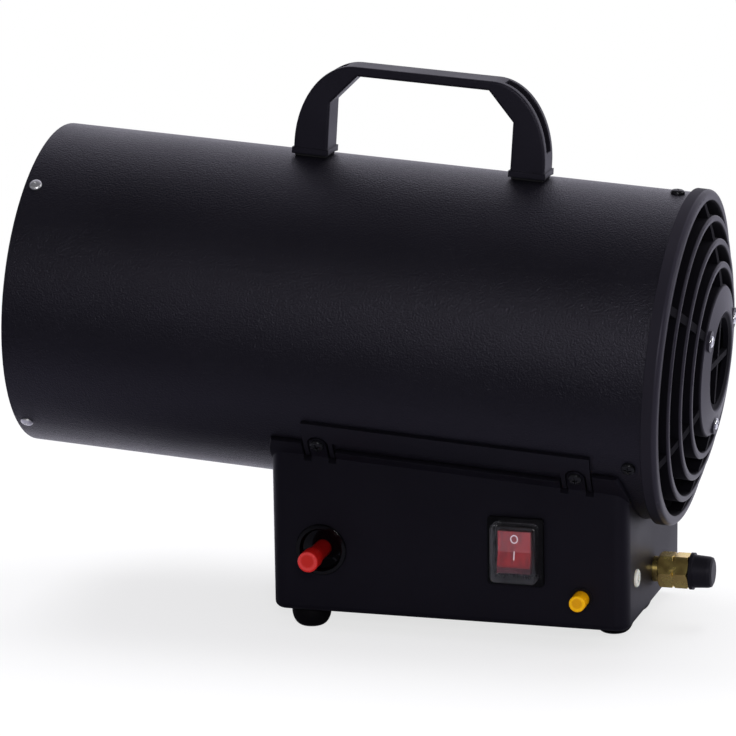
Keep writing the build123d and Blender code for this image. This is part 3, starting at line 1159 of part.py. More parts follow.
def build_parts():
    return {
        "outer_casing": in_tube(outer_casing()),
        "chamber_rivets": in_tube(chamber_rivets()),
        "combustion_chamber": in_tube(combustion_chamber()),
        "chamber_brackets": in_tube(chamber_brackets()),
        "rear_baffle": in_tube(rear_baffle()),
        "burner_cup": in_tube(burner_cup()),
        "flame_plate": in_tube(flame_plate()),
        "gas_nozzle": in_tube(gas_nozzle()),
        "spark_electrode": in_tube(spark_electrode()),
        "thermocouple": in_tube(thermocouple()),
        "overheat_thermostat": in_tube(overheat_thermostat()),
        "rear_grille": in_tube(rear_grille()),
        "grille_screws": in_tube(grille_screws()),
        "motor_screws": in_tube(motor_screws()),
        "fan_motor": in_tube(fan_motor()),
        "motor_shaft": in_tube(motor_shaft()),
        "fan_impeller": in_tube(fan_impeller()),
        "carry_handle": in_tube(carry_handle()),
        "handle_pads": in_tube(handle_pads()),
        "handle_screws": in_tube(handle_screws()),
        "locating_straps": in_tube(both_sides(locating_strap())),
        "box_screws": in_tube(box_screws()),
        "control_box": control_box(),
        "rubber_feet": rubber_feet(),
        "foot_studs": foot_studs(),
        "foot_nuts": foot_nuts(),
        "gas_button": gas_button(),
        "gas_button_dish": gas_button_dish(),
        "gas_valve": gas_valve(),
        "inlet_pipe": inlet_pipe(),
        "feed_pipe": feed_pipe(),
        "switch_housing": switch_housing(),
        "switch_rocker": switch_rocker(),
        "switch_cover": switch_cover(),
        "igniter_body": igniter_body(),
        "igniter_button": igniter_button(),
        "igniter_nut": igniter_nut(),
        "inlet_fitting": inlet_fitting(),
        "inlet_nut": inlet_nut(),
        "inlet_cap": inlet_cap(),
        "cord_bush": cord_bush(),
        "terminal_block": terminal_block(),
    }


os.makedirs("parts", exist_ok=True)
for name, shape in build_parts().items():
    if isinstance(shape, list):
        shape = Compound(children=shape)
    export_step(shape, f"parts/{name}.step")
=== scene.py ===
import math

import bpy
from mathutils import Matrix, Vector
from mathutils.bvhtree import BVHTree


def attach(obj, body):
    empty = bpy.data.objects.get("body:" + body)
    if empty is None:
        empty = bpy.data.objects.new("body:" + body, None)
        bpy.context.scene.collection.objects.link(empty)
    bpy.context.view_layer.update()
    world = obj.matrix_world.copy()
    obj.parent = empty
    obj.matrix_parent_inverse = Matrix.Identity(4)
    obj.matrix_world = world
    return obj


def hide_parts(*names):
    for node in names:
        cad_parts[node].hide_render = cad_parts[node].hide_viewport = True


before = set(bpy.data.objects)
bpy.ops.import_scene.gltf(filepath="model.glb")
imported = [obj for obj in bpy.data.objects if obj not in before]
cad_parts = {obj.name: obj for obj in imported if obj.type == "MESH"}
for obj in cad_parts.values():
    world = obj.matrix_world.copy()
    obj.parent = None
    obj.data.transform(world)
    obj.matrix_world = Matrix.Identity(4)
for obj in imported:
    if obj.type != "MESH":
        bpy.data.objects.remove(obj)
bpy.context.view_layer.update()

# ------------------------------------------------------------ outer casing
# The casing is one sheet of 1 mm steel rolled to a tube, its outlet edge folded back inside.
# It is powder coated in a fine-grained satin black; small dips in the film break up its shine.
casing_end = Vector((0.17346, 0, 0.1554))
casing_tilt = math.radians(3.9)
casing_radius = 0.092
# The casing's own frame starts in the middle of its intake end, with X along its axis, outwards.
casing_frame = Matrix.Translation(casing_end) @ Matrix.Rotation(casing_tilt, 4, "Y")
coat_black = (0.0025, 0.0023, 0.0038)
cool_sheen = (0.84, 0.80, 1.0, 1)
dust_grey = (0.16, 0.15, 0.14)


def put(tree, kind, sockets=None, **settings):
    """A node with its settings, its input values and the links into it."""
    made = tree.nodes.new(kind)
    for name, value in settings.items():
        setattr(made, name, value)
    for socket, value in (sockets or {}).items():
        if isinstance(value, bpy.types.NodeSocket):
            tree.links.new(value, made.inputs[socket])
        else:
            made.inputs[socket].default_value = value
    return made


def math_node(tree, operation, first, second=0.0, **settings):
    """What one operation makes of two numbers."""
    made = put(tree, "ShaderNodeMath", {0: first, 1: second}, operation=operation, **settings)
    return made.outputs[0]


def mixed(tree, share, first, second):
    """The colour between two colours."""
    def solid(colour):
        return (*colour, 1) if isinstance(colour, tuple) else colour
    made = put(tree, "ShaderNodeMix", {0: share, 6: solid(first), 7: solid(second)},
               data_type="RGBA")
    return made.outputs[2]


def ranged(tree, value, low, high, start=0.0, end=1.0, **settings):
    """A value carried from start..end to low..high."""
    made = put(tree, "ShaderNodeMapRange", {"Value": value, "From Min": start, "From Max": end,
                                            "To Min": low, "To Max": high}, **settings)
    return made.outputs["Result"]


def object_place(tree):
    """Where a point of the surface lies."""
    return put(tree, "ShaderNodeTexCoord").outputs["Object"]


def split(tree, vector):
    """A vector's X, Y and Z."""
    return put(tree, "ShaderNodeSeparateXYZ", {0: vector}).outputs


def noise(tree, place, scale, detail, rough=0.5):
    """Soft random values round a half."""
    made = put(tree, "ShaderNodeTexNoise", {"Vector": place, "Scale": scale, "Detail": detail,
                                            "Roughness": rough})
    return made.outputs["Fac"]


def effect(name, inputs, outputs):
    """A shader group with named number inputs and outputs."""
    group = bpy.data.node_groups.new(name, "ShaderNodeTree")
    for title, start in inputs.items():
        made = group.interface.new_socket(title, in_out="INPUT", socket_type="NodeSocketFloat")
        made.default_value = start
    for title, kind in outputs.items():
        group.interface.new_socket(title, in_out="OUTPUT", socket_type=kind)
    given = group.nodes.new("NodeGroupInput").outputs
    return group, given, group.nodes.new("NodeGroupOutput").inputs


def surface_grain():
    """Fine grain as a height, and slow unevenness as a tone."""
    group, given, result = effect("surface_grain", {"Grain": 900, "Patch": 14},
                                  {"Height": "NodeSocketFloat", "Tone": "NodeSocketFloat"})
    place = object_place(group)
    fine = noise(group, place, given["Grain"], detail=3, rough=0.6)
    slow = noise(group, place, given["Patch"], detail=4, rough=0.55)
    group.links.new(fine, result["Height"])
    group.links.new(ranged(group, slow, 0, 1, 0.32, 0.68), result["Tone"])
    return group


def rubbed_edge():
    """A soft normal round sharp edges, and a mask of where hands and cloths rub them."""
    group, given, result = effect("rubbed_edge", {"Radius": 0.0006, "Amount": 1},
                                  {"Mask": "NodeSocketFloat", "Normal": "NodeSocketVector"})
    soft = put(group, "ShaderNodeBevel", {"Radius": given["Radius"]}, samples=4).outputs["Normal"]
    flat = put(group, "ShaderNodeNewGeometry").outputs["Normal"]
    turn = put(group, "ShaderNodeVectorMath", {0: soft, 1: flat}, operation="DOT_PRODUCT")
    off = math_node(group, "SUBTRACT", 1.0, turn.outputs["Value"], use_clamp=True)
    broken = noise(group, object_place(group), scale=160, detail=5)
    broken = ranged(group, broken, low=0, high=2, start=0.42, end=0.62)
    patchy = math_node(group, "MULTIPLY", off, broken)
    mask = math_node(group, "MULTIPLY", patchy, given["Amount"], use_clamp=True)
    group.links.new(mask, result["Mask"])
    group.links.new(soft, result["Normal"])
    return group


def settled_dust():
    """A mask of faces that look up, broken by fine specks."""
    group, given, result = effect("settled_dust", {"Amount": 0.1}, {"Mask": "NodeSocketFloat"})
    up = split(group, put(group, "ShaderNodeNewGeometry").outputs["Normal"])["Z"]
    speck = noise(group, object_place(group), scale=420, detail=6, rough=0.7)
    lying = math_node(group, "MULTIPLY", ranged(group, up, 0, 1, 0.25, 1),
                      ranged(group, speck, 0, 1, 0.45, 0.75))
    mask = math_node(group, "MULTIPLY", lying, given["Amount"], use_clamp=True)
    group.links.new(mask, result["Mask"])
    return group


grain_effect, edge_effect, dust_effect = surface_grain(), rubbed_edge(), settled_dust()


def new_look(name):
    """A new material with its tree and its main shader."""
    made = bpy.data.materials.new(name)
    made.use_nodes = True
    return made, made.node_tree, made.node_tree.nodes["Principled BSDF"]


def finish(name, colour, rough, metal=0.0, grain=900, depth=0.00006, patch=14, mottle=0.2,
           spread=0.05, edge=0.0006, worn=0.0, worn_colour=(0.05, 0.05, 0.052), dust=0.0, **plain):
    """A solid finish: mottled colour, uneven shine, fine grain, soft edges, wear and dust."""
    made, tree, shader = new_look(name)
    surface = put(tree, "ShaderNodeGroup", {"Grain": grain, "Patch": patch}, node_tree=grain_effect)
    rim = put(tree, "ShaderNodeGroup", {"Radius": edge, "Amount": worn}, node_tree=edge_effect)
    dark = tuple(c * (1 - mottle) for c in colour)
    light = tuple(min(1, c * (1 + mottle)) for c in colour)
    base = mixed(tree, surface.outputs["Tone"], dark, light)
    if worn:
        base = mixed(tree, rim.outputs["Mask"], base, worn_colour)
    if dust:
        lying = put(tree, "ShaderNodeGroup", {"Amount": dust}, node_tree=dust_effect)
        base = mixed(tree, lying.outputs["Mask"], base, dust_grey)
    shine = ranged(tree, surface.outputs["Tone"], rough - spread, rough + spread)
    bump = put(tree, "ShaderNodeBump", {"Height": surface.outputs["Height"], "Strength": 1.0,
                                        "Distance": depth, "Normal": rim.outputs["Normal"]})
    tree.links.new(base, shader.inputs["Base Color"])
    tree.links.new(shine, shader.inputs["Roughness"])
    tree.links.new(bump.outputs["Normal"], shader.inputs["Normal"])
    shader.inputs["Metallic"].default_value = metal
    for title, value in plain.items():
        socket = title.replace("_", " ").title().replace("Ior", "IOR")
        shader.inputs[socket].default_value = value
    return made


def dress(look, *names):
    """Gives CAD nodes their finish."""
    for name in names:
        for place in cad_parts[name].material_slots:
            place.material = look


dress(finish("satin_black_coat", coat_black, 0.35, grain=950, depth=0.00042, patch=9, spread=0.03,
             edge=0.0005, dust=0.02, specular_ior_level=0.45, specular_tint=cool_sheen),
      "outer_casing")

# ------------------------------------------------------------ combustion chamber and brackets
# The inner tube and the flat plate behind it are bare heat-resisting steel, spot welded.
# They have run hot once at the works, so the steel is straw and blue towards the flame.
burner_mouth = casing_frame @ Vector((-0.255, 0, 0))
chamber_temper_reach, temper_wander, temper_share = 0.16, 0.02, 0.65
scorched_grey = (0.16, 0.15, 0.15, 1)
temper_blue, temper_purple = (0.10, 0.13, 0.24, 1), (0.22, 0.10, 0.16, 1)
temper_brown, temper_straw = (0.38, 0.24, 0.10, 1), (0.42, 0.36, 0.26, 1)


def distance(tree, place, middle):
    """How far a point of the surface is from another point."""
    made = put(tree, "ShaderNodeVectorMath", {0: place, 1: tuple(middle)}, operation="DISTANCE")
    return made.outputs["Value"]


def overlay(look, share, colour):
    """Lays a colour over a finish, by a share that may change over the surface."""
    tree = look.node_tree
    socket = tree.nodes["Principled BSDF"].inputs["Base Color"]
    tree.links.new(mixed(tree, share, socket.links[0].from_socket, colour), socket)


def heated_steel(name, colour, rough, reach):
    """Bare steel whose temper colours run out from the burner's mouth."""
    made = finish(name, colour, rough, metal=1.0, grain=260, depth=0.00002, patch=22, mottle=0.12,
                  edge=0.0004)
    tree = made.node_tree
    place = object_place(tree)
    wander = noise(tree, place, scale=30, detail=3)
    wander = ranged(tree, wander, -temper_wander, temper_wander)
    away = math_node(tree, "ADD", distance(tree, place, burner_mouth), wander)
    temper = put(tree, "ShaderNodeValToRGB", {"Fac": ranged(tree, away, 0, 1, 0, reach)})
    stops = temper.color_ramp.elements
    stops[0].position, stops[0].color = 0.0, scorched_grey
    stops[1].position, stops[1].color = 1.0, (*colour, 1)
    for at, tint in ((0.3, temper_blue), (0.45, temper_purple), (0.6, temper_brown),
                     (0.8, temper_straw)):
        stops.new(at).color = tint
    overlay(made, temper_share, temper.outputs["Color"])
    return made


dress(heated_steel("chamber_steel", (0.36, 0.35, 0.34), 0.38, chamber_temper_reach),
      "combustion_chamber", "rear_baffle")
dress(finish("bracket_zinc", (0.52, 0.53, 0.55), 0.34, metal=1.0, grain=300, patch=60, mottle=0.2,
             depth=0.00002), "chamber_brackets")

# ------------------------------------------------------------ burner, jet and probes
# The burner is a pressed steel cup with a slotted plate, fed by a turned brass jet.
# A porcelain spark electrode and a thermocouple reach past its rim from below.
burner_temper_reach = 0.07
dress(heated_steel("burner_steel", (0.33, 0.32, 0.31), 0.42, burner_temper_reach),
      "burner_cup", "flame_plate")
turned_brass = finish("turned_brass", (1.0, 0.70, 0.23), 0.26, metal=1.0, grain=500, depth=0.00002,
                      patch=120, mottle=0.16, spread=0.06, edge=0.0005, worn=0.4,
                      worn_colour=(0.95, 0.68, 0.32))
dress(turned_brass, "gas_nozzle")
dress(finish("glazed_porcelain", (0.82, 0.80, 0.74), 0.16, grain=200, depth=0.00001, mottle=0.05,
             coat_weight=0.6), "spark_electrode")
dress(finish("probe_copper", (0.62, 0.34, 0.22), 0.30, metal=1.0, grain=300, depth=0.00001,
             mottle=0.15), "thermocouple")
dress(finish("nickel_plate", (0.62, 0.61, 0.58), 0.28, metal=1.0, depth=0.00001, mottle=0.08),
      "overheat_thermostat")
dress(finish("pipe_steel", (0.48, 0.49, 0.50), 0.30, metal=1.0, grain=240, depth=0.00001,
             mottle=0.12), "feed_pipe", "inlet_pipe")

# ------------------------------------------------------------ chamber rivets
# Four aluminium blind rivets near the outlet hold the chamber's front brackets.
# Each has a low domed head with the broken-off mandrel sunk in its middle.
rivet_place, rivet_angle = -0.3624, 48.5
rivet_head, rivet_height, rivet_fullness = 0.0036, 0.0016, 0.85
rivet_shank, rivet_length = 0.0020, 0.0033
mandrel_radius, mandrel_depth = 0.0011, 0.0006
sharp_corner = math.radians(40)
fastener_sizes = ("Head Radius", "Head Height", "Fullness", "Shank Radius", "Shank Length")


def geometry_tree(name, inputs):
    """A geometry tree with a mesh of seats in, named sizes, a finish, and a mesh out."""
    tree = bpy.data.node_groups.new(name, "GeometryNodeTree")
    tree.interface.new_socket("Geometry", in_out="INPUT", socket_type="NodeSocketGeometry")
    for title in inputs:
        tree.interface.new_socket(title, in_out="INPUT", socket_type="NodeSocketFloat")
    tree.interface.new_socket("Finish", in_out="INPUT", socket_type="NodeSocketMaterial")
    tree.interface.new_socket("Geometry", in_out="OUTPUT", socket_type="NodeSocketGeometry")
    given = tree.nodes.new("NodeGroupInput").outputs
    return tree, given, tree.nodes.new("NodeGroupOutput").inputs


def joined(tree, **parts):
    """A vector from its X, Y and Z."""
    return put(tree, "ShaderNodeCombineXYZ", parts).outputs[0]


def moved(tree, shape, by):
    """A shape of the tree, moved by a vector."""
    made = put(tree, "GeometryNodeTransform", {"Geometry": shape, "Translation": by})
    return made.outputs[0]


def drum(tree, sides, radius, depth):
    """A closed cylinder round the origin."""
    made = put(tree, "GeometryNodeMeshCylinder", {"Vertices": sides, "Radius": radius,
                                                  "Depth": depth})
    return made.outputs["Mesh"]


def round_head(tree, given):
    """A round-edged head on Z = 0 with a shank below: a ball swollen towards a flat drum."""
    ball = put(tree, "GeometryNodeMeshUVSphere", {"Segments": 36, "Rings": 24, "Radius": 1.0})
    spot = split(tree, put(tree, "GeometryNodeInputPosition").outputs[0])
    reach = put(tree, "ShaderNodeVectorMath", {0: joined(tree, X=spot["X"], Y=spot["Y"])},
                operation="LENGTH").outputs["Value"]
    reach = math_node(tree, "MAXIMUM", reach, 0.0001)  # never zero, even at the ball's poles
    power = math_node(tree, "SUBTRACT", given["Fullness"], 1.0)
    swell = math_node(tree, "MULTIPLY", math_node(tree, "POWER", reach, power),
                      given["Head Radius"])
    above = math_node(tree, "MAXIMUM", spot["Z"], 0.0)
    rise = math_node(tree, "POWER", above, given["Fullness"])
    place = joined(tree, X=math_node(tree, "MULTIPLY", spot["X"], swell),
                   Y=math_node(tree, "MULTIPLY", spot["Y"], swell),
                   Z=math_node(tree, "MULTIPLY", rise, given["Head Height"]))
    head = put(tree, "GeometryNodeSetPosition", {"Geometry": ball.outputs["Mesh"],
                                                 "Position": place})
    shank = drum(tree, sides=24, radius=given["Shank Radius"], depth=given["Shank Length"])
    drop = joined(tree, Z=math_node(tree, "MULTIPLY", given["Shank Length"], -0.5))
    return head.outputs[0], moved(tree, shank, drop)


def cut_out(tree, head, tool, crossing=False):
    """The head with a shape taken out of it, which may cross itself."""
    made = put(tree, "GeometryNodeMeshBoolean",
               {"Mesh 1": head, "Mesh 2": tool, "Self Intersection": crossing},
               operation="DIFFERENCE", solver="EXACT")
    return made.outputs["Mesh"]


def set_on_seats(tree, given, result, head, shank):
    """Copies the fastener to every seat, turned to its axis, and gives it its finish."""
    both = put(tree, "GeometryNodeJoinGeometry")
    tree.links.new(head, both.inputs[0])
    tree.links.new(shank, both.inputs[0])
    axis = put(tree, "GeometryNodeInputNamedAttribute", {"Name": "axis"},
               data_type="FLOAT_VECTOR").outputs[0]
    turn = put(tree, "GeometryNodeInputNamedAttribute", {"Name": "turn"},
               data_type="FLOAT").outputs[0]
    faced = put(tree, "FunctionNodeAlignRotationToVector", {"Vector": axis}, axis="Z").outputs[0]
    spin = put(tree, "FunctionNodeAxisAngleToRotation", {"Axis": (0, 0, 1), "Angle": turn})
    faced = put(tree, "FunctionNodeRotateRotation", {0: faced, 1: spin.outputs[0]},
                rotation_space="LOCAL").outputs[0]
    copies = put(tree, "GeometryNodeInstanceOnPoints",
                 {"Points": given["Geometry"], "Instance": both.outputs[0], "Rotation": faced})
    real = put(tree, "GeometryNodeRealizeInstances", {0: copies.outputs[0]})
    smooth = put(tree, "GeometryNodeSetShadeSmooth", {0: real.outputs[0]})
    done = put(tree, "GeometryNodeSetMaterial", {"Geometry": smooth.outputs[0],
                                                 "Material": given["Finish"]})
    tree.links.new(done.outputs[0], result["Geometry"])


def rivet_tree():
    """A blind rivet: domed head with a round dimple where the mandrel snapped."""
    tree, given, result = geometry_tree("blind_rivet",
                                        (*fastener_sizes, "Mandrel Radius", "Mandrel Depth"))
    head, shank = round_head(tree, given)
    pit = drum(tree, sides=20, radius=given["Mandrel Radius"],
               depth=math_node(tree, "MULTIPLY", given["Mandrel Depth"], 2.0))
    pit = moved(tree, pit, joined(tree, Z=given["Head Height"]))
    set_on_seats(tree, given, result, cut_out(tree, head, pit), shank)
    return tree


def new_piece(name, data):
    """A new object in the scene."""
    piece = bpy.data.objects.new(name, data)
    bpy.context.scene.collection.objects.link(piece)
    return piece


def seats(name, places):
    """A mesh of single points, each with the axis it looks along and its head's turn."""
    mesh = bpy.data.meshes.new(name)
    mesh.from_pydata([spot for spot, _, _ in places], [], [])
    axes = mesh.attributes.new("axis", "FLOAT_VECTOR", "POINT").data
    axes.foreach_set("vector", [part for _, axis, _ in places for part in axis])
    turns = mesh.attributes.new("turn", "FLOAT", "POINT").data
    turns.foreach_set("value", [turn for _, _, turn in places])
    return new_piece(name, mesh)


def grow(piece, tree, **sizes):
    """Runs a geometry tree on a piece and keeps its result as a plain mesh."""
    made = piece.modifiers.new(tree.name, "NODES")
    made.node_group = tree
    wanted = {key.replace("_", " ").title(): value for key, value in sizes.items()}
    for item in tree.interface.items_tree:
        if item.item_type == "SOCKET" and item.in_out == "INPUT" and item.name in wanted:
            made[item.identifier] = wanted[item.name]
    graph = bpy.context.evaluated_depsgraph_get()
    mesh = bpy.data.meshes.new_from_object(piece.evaluated_get(graph), depsgraph=graph)
    piece.modifiers.clear()
    piece.data = mesh
    mesh.set_sharp_from_angle(angle=sharp_corner)
    return piece


def round_casing(along, angle, radius=casing_radius):
    """A seat on the casing at an angle above the control side, with its outward axis."""
    out = Vector((0, -math.cos(math.radians(angle)), math.sin(math.radians(angle))))
    place = casing_frame @ (Vector((along, 0, 0)) + out * radius)
    return place, casing_frame.to_3x3() @ out


rivet_angles = (rivet_angle, -rivet_angle, 180 - rivet_angle, 180 + rivet_angle)
rivets = grow(seats("blind_rivets", [(*round_casing(rivet_place, a), 0.0) for a in rivet_angles]),
              rivet_tree(), head_radius=rivet_head, head_height=rivet_height,
              fullness=rivet_fullness, shank_radius=rivet_shank, shank_length=rivet_length,
              mandrel_radius=mandrel_radius, mandrel_depth=mandrel_depth,
              finish=finish("rivet_aluminium", (0.91, 0.91, 0.92), 0.42, metal=1.0, grain=700,
                            depth=0.00001, mottle=0.06))
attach(rivets, "heater")
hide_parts("chamber_rivets")

# ------------------------------------------------------------ intake grille
# The domed grille is one moulding of matte black plastic: rim, rings, spokes and hub.
# Its tool was spark eroded, so every face has the same fine even grain. Shade is painted on the
# spokes and walls behind the dome, darker the deeper they lie and lighter on the rim's outer wall.
dome_top, dome_flat = 0.0238, 0.029  # the hub's face, and the radius where the dome leaves it
dome_curve = 0.2329  # the radius that the dome is bent to
dome_skin, dome_depth = 0.0003, 0.0009  # how far behind it the painted shade starts, and is full
rim_corner, rim_wall, rim_wall_share = 0.0900, 0.0925, 0.45
front_rough, behind_rough, front_share = 0.38, 0.85, 0.7
grille_black = (0.0048, 0.0044, 0.0066)
grille_front, grille_painted_shade = (0.022, 0.020, 0.028), (0.0010, 0.0008, 0.0016)


def shade_behind_dome(tree):
    """A mask for painted shade on what lies behind the dome's skin, weaker on the rim's outer wall.
    """
    turned = put(tree, "ShaderNodeVectorRotate",
                 {"Vector": object_place(tree), "Center": tuple(casing_end),
                  "Angle": -casing_tilt}, rotation_type="Y_AXIS").outputs[0]
    local = put(tree, "ShaderNodeVectorMath", {0: turned, 1: tuple(casing_end)},
                operation="SUBTRACT").outputs[0]
    part = split(tree, local)
    square = math_node(tree, "ADD", math_node(tree, "MULTIPLY", part["Y"], part["Y"]),
                       math_node(tree, "MULTIPLY", part["Z"], part["Z"]))
    fall = math_node(tree, "DIVIDE", math_node(tree, "SUBTRACT", square, dome_flat ** 2),
                     2 * dome_curve)
    skin = math_node(tree, "SUBTRACT", dome_top, fall)
    deep = ranged(tree, math_node(tree, "SUBTRACT", skin, part["X"]), 0.0, 1.0, dome_skin,
                  dome_depth)
    wall = ranged(tree, square, 1.0, rim_wall_share, rim_corner ** 2, rim_wall ** 2)
    return math_node(tree, "MULTIPLY", deep, wall)


grille_look = finish("grille_plastic_black", grille_black, 0.44, grain=1400, depth=0.00003,
                     patch=18, edge=0.0005, worn=0.1, dust=0.02, specular_ior_level=0.16,
                     specular_tint=cool_sheen)
grille_tree = grille_look.node_tree
# The mask paints shade on what lies behind the dome, and makes those faces rougher.
sunk = shade_behind_dome(grille_tree)
overlay(grille_look, front_share, grille_front)
overlay(grille_look, sunk, grille_painted_shade)
grille_tree.links.new(ranged(grille_tree, sunk, front_rough, behind_rough),
                      grille_tree.nodes["Principled BSDF"].inputs["Roughness"])
dress(grille_look, "rear_grille")

# ------------------------------------------------------------ fan and motor
# A six-bladed moulded fan runs on the shaft of a small shaded-pole motor.
# The motor's can is zinc plated and its shaft ground; both sit behind the hub.
dress(finish("motor_can", (0.42, 0.43, 0.44), 0.36, metal=1.0, grain=260, depth=0.00002, patch=40),
      "fan_motor")
dress(finish("ground_shaft", (0.62, 0.62, 0.63), 0.18, metal=1.0, grain=120, depth=0.000005),
      "motor_shaft")
dress(finish("fan_plastic_grey", (0.030, 0.031, 0.034), 0.45, grain=900, depth=0.00003,
             edge=0.0004), "fan_impeller")

# ------------------------------------------------------------ screws
# Cross-recess pan-head screws: blacked ones hold the grille and the box's tabs,
# zinc-plated ones clamp the motor to the hub, and two come up into the handle.
screw_head, screw_height, screw_fullness = 0.0040, 0.0024, 0.55
screw_shank, screw_length = 0.0019, 0.0090
cross_span, cross_width, cross_depth = 0.0046, 0.0009, 0.0013
grille_screw_place, grille_screw_angles = -0.0078, (90, -30, 210)
tab_screw_places, tab_screw_angle, tab_radius = (-0.1855, -0.0378), -36.476, 0.0948
hub_screw_circle, hub_screw_angles, hub_screw_seat = 0.036, (30, 150, 270), 0.0228
hub_head, hub_height = 0.0033, 0.0018
handle_leg_places, handle_screw_seat = (-0.2179, -0.0919), 0.090863
handle_head, handle_shank, handle_screw_length = 0.005, 0.0025, 0.0125


def screw_tree():
    """A pan-head screw with a cross recess sunk in its head."""
    tree, given, result = geometry_tree("cross_recess_screw", (*fastener_sizes, "Cross Span",
                                                               "Cross Width", "Cross Depth"))
    head, shank = round_head(tree, given)
    deep = math_node(tree, "MULTIPLY", given["Cross Depth"], 2.0)
    slots = put(tree, "GeometryNodeJoinGeometry")
    for along, across in (("Cross Span", "Cross Width"), ("Cross Width", "Cross Span")):
        size = joined(tree, X=given[along], Y=given[across], Z=deep)
        slot = put(tree, "GeometryNodeMeshCube", {"Size": size}).outputs["Mesh"]
        tree.links.new(slot, slots.inputs[0])
    cross = moved(tree, slots.outputs[0], joined(tree, Z=given["Head Height"]))
    set_on_seats(tree, given, result, cut_out(tree, head, cross, crossing=True), shank)
    return tree


pan_screw = screw_tree()
# Its lighter worn edges, round the heads and cross recesses, are partly real wear and partly
# painted highlight.
blacked_steel = finish("blacked_steel", (0.010, 0.010, 0.012), 0.26, metal=0.6, grain=500,
                       depth=0.00001, mottle=0.2, edge=0.0003, worn=0.8,
                       worn_colour=(0.30, 0.30, 0.31))
bright_zinc = finish("bright_zinc", (0.72, 0.73, 0.75), 0.24, metal=1.0, grain=500, depth=0.00001,
                     patch=90, mottle=0.08, edge=0.0003)


def screws(name, stands_for, places, look, length=screw_length, head=screw_head,
           height=screw_height, shank=screw_shank):
    """Screws of one kind, as one piece that stands for their CAD node."""
    made = grow(seats(name, places), pan_screw, head_radius=head, head_height=height,
                fullness=screw_fullness, shank_radius=shank, shank_length=length,
                cross_span=cross_span, cross_width=cross_width, cross_depth=cross_depth,
                finish=look)
    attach(made, "heater")
    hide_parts(stands_for)


# The last number of a seat is its head's turn, in radians.
screws("grille_cross_screws", "grille_screws",
       [(*round_casing(grille_screw_place, angle), 0.4 + n)
        for n, angle in enumerate(grille_screw_angles)], blacked_steel)
screws("tab_cross_screws", "box_screws",
       [(*round_casing(place, angle, tab_radius), 0.3 + place * 9)
        for place in tab_screw_places for angle in (tab_screw_angle, 180 - tab_screw_angle)],
       blacked_steel)
casing_axis = casing_frame.to_3x3() @ Vector((1, 0, 0))
casing_down = casing_frame.to_3x3() @ Vector((0, 0, -1))
screws("hub_cross_screws", "motor_screws",
       [(round_casing(hub_screw_seat, angle, hub_screw_circle)[0], casing_axis, 0.5 + n)
        for n, angle in enumerate(hub_screw_angles)],
       bright_zinc, head=hub_head, height=hub_height)
screws("handle_cross_screws", "handle_screws",
       [(casing_frame @ Vector((place, 0, handle_screw_seat)), casing_down, 0.7)
        for place in handle_leg_places],
       bright_zinc, length=handle_screw_length, head=handle_head, shank=handle_shank)

# ------------------------------------------------------------ carrying handle
# The handle is a stiff black moulding with open-backed legs, screwed from inside the casing.
# A rubber pad under each foot keeps it off the paint; palms polish its upper edges.
dress(finish("handle_plastic_black", (0.0036, 0.0032, 0.0056), 0.44, grain=1100, depth=0.00005,
             patch=20, edge=0.0012, worn=0.15, dust=0.02, specular_ior_level=0.32,
             specular_tint=cool_sheen), "carry_handle")
dress(finish("pad_rubber", (0.006, 0.006, 0.007), 0.75, grain=700, depth=0.00005,
             specular_ior_level=0.3), "handle_pads")

# ------------------------------------------------------------ straps
# A steel strap lies along each flank of the casing, in the casing's own black coat.
# Its prongs stand in pairs and locate the box's tabs between them.
dress(finish("strap_coat", coat_black, 0.45, grain=950, depth=0.00004, edge=0.0006, worn=0.1,
             specular_ior_level=0.3, specular_tint=cool_sheen), "locating_straps")

# ------------------------------------------------------------ control box
# The box is a deep moulded tray in charcoal plastic with rounded corners and flared lips.
# Its walls carry the gas button, the switch, the igniter, the gas fitting and the cord bush.
dress(finish("box_plastic_charcoal", (0.0022, 0.0018, 0.0036), 0.50, grain=1300, depth=0.00005,
             patch=11, edge=0.0008, worn=0.06, dust=0.01, specular_ior_level=0.22,
             specular_tint=cool_sheen), "control_box")

# ------------------------------------------------------------ feet
# Domed rubber feet are moulded round threaded studs.
# The studs come up through the box's floor and are nutted inside it.
dress(finish("foot_rubber_black", (0.0014, 0.0012, 0.0018), 0.55, grain=500, depth=0.00008,
             specular_ior_level=0.12), "rubber_feet")
dress(bright_zinc, "foot_studs", "foot_nuts")

# ------------------------------------------------------------ gas button and valve
# The red button is a glossy moulded cap on a stem that slides in a polished black dish.
# Shade is painted on its side towards the dish; its dished end has a painted highlight on its
# raised rim.
# Behind the wall the stem opens a small die-cast valve block.
gas_button_radius = 0.0059
gas_button_front, gas_button_root, root_shade_share = -0.0945, -0.0780, 0.75
red_plastic, red_root_shade = (0.46, 0.008, 0.006), (0.09, 0.001, 0.001)
# The rim colour is a painted highlight, the core colour painted shade.
red_rim_highlight, red_core_shade = (0.52, 0.036, 0.034), (0.40, 0.012, 0.008)
end_skin, end_depth, end_fade = 0.0002, 0.0006, 0.0012  # behind a button's foremost point
core_edge, rim_edge = (0.55, 0.72), (0.86, 1.02)  # where they fade, as shares of its radius


def end_light_and_shade(look, node, radius, rim, core):
    """A button's end is dished: a highlight is painted on its raised rim and shade on the core
    inside it.
    """
    corners = [v.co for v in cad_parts[node].data.vertices]
    front = min(v.y for v in corners)
    end = [v for v in corners if v.y < front + end_skin]
    tree = look.node_tree
    place = object_place(tree)
    off = distance(tree, place, sum(end, Vector()) / len(end))
    inner = ranged(tree, off, 0.0, 1.0, *(radius * share for share in core_edge))
    outer = ranged(tree, off, 1.0, 0.0, *(radius * share for share in rim_edge))
    near_end = ranged(tree, split(tree, place)["Y"], 1.0, 0.0, front + end_depth,
                      front + end_fade)
    overlay(look, math_node(tree, "MULTIPLY", near_end, outer), mixed(tree, inner, core, rim))


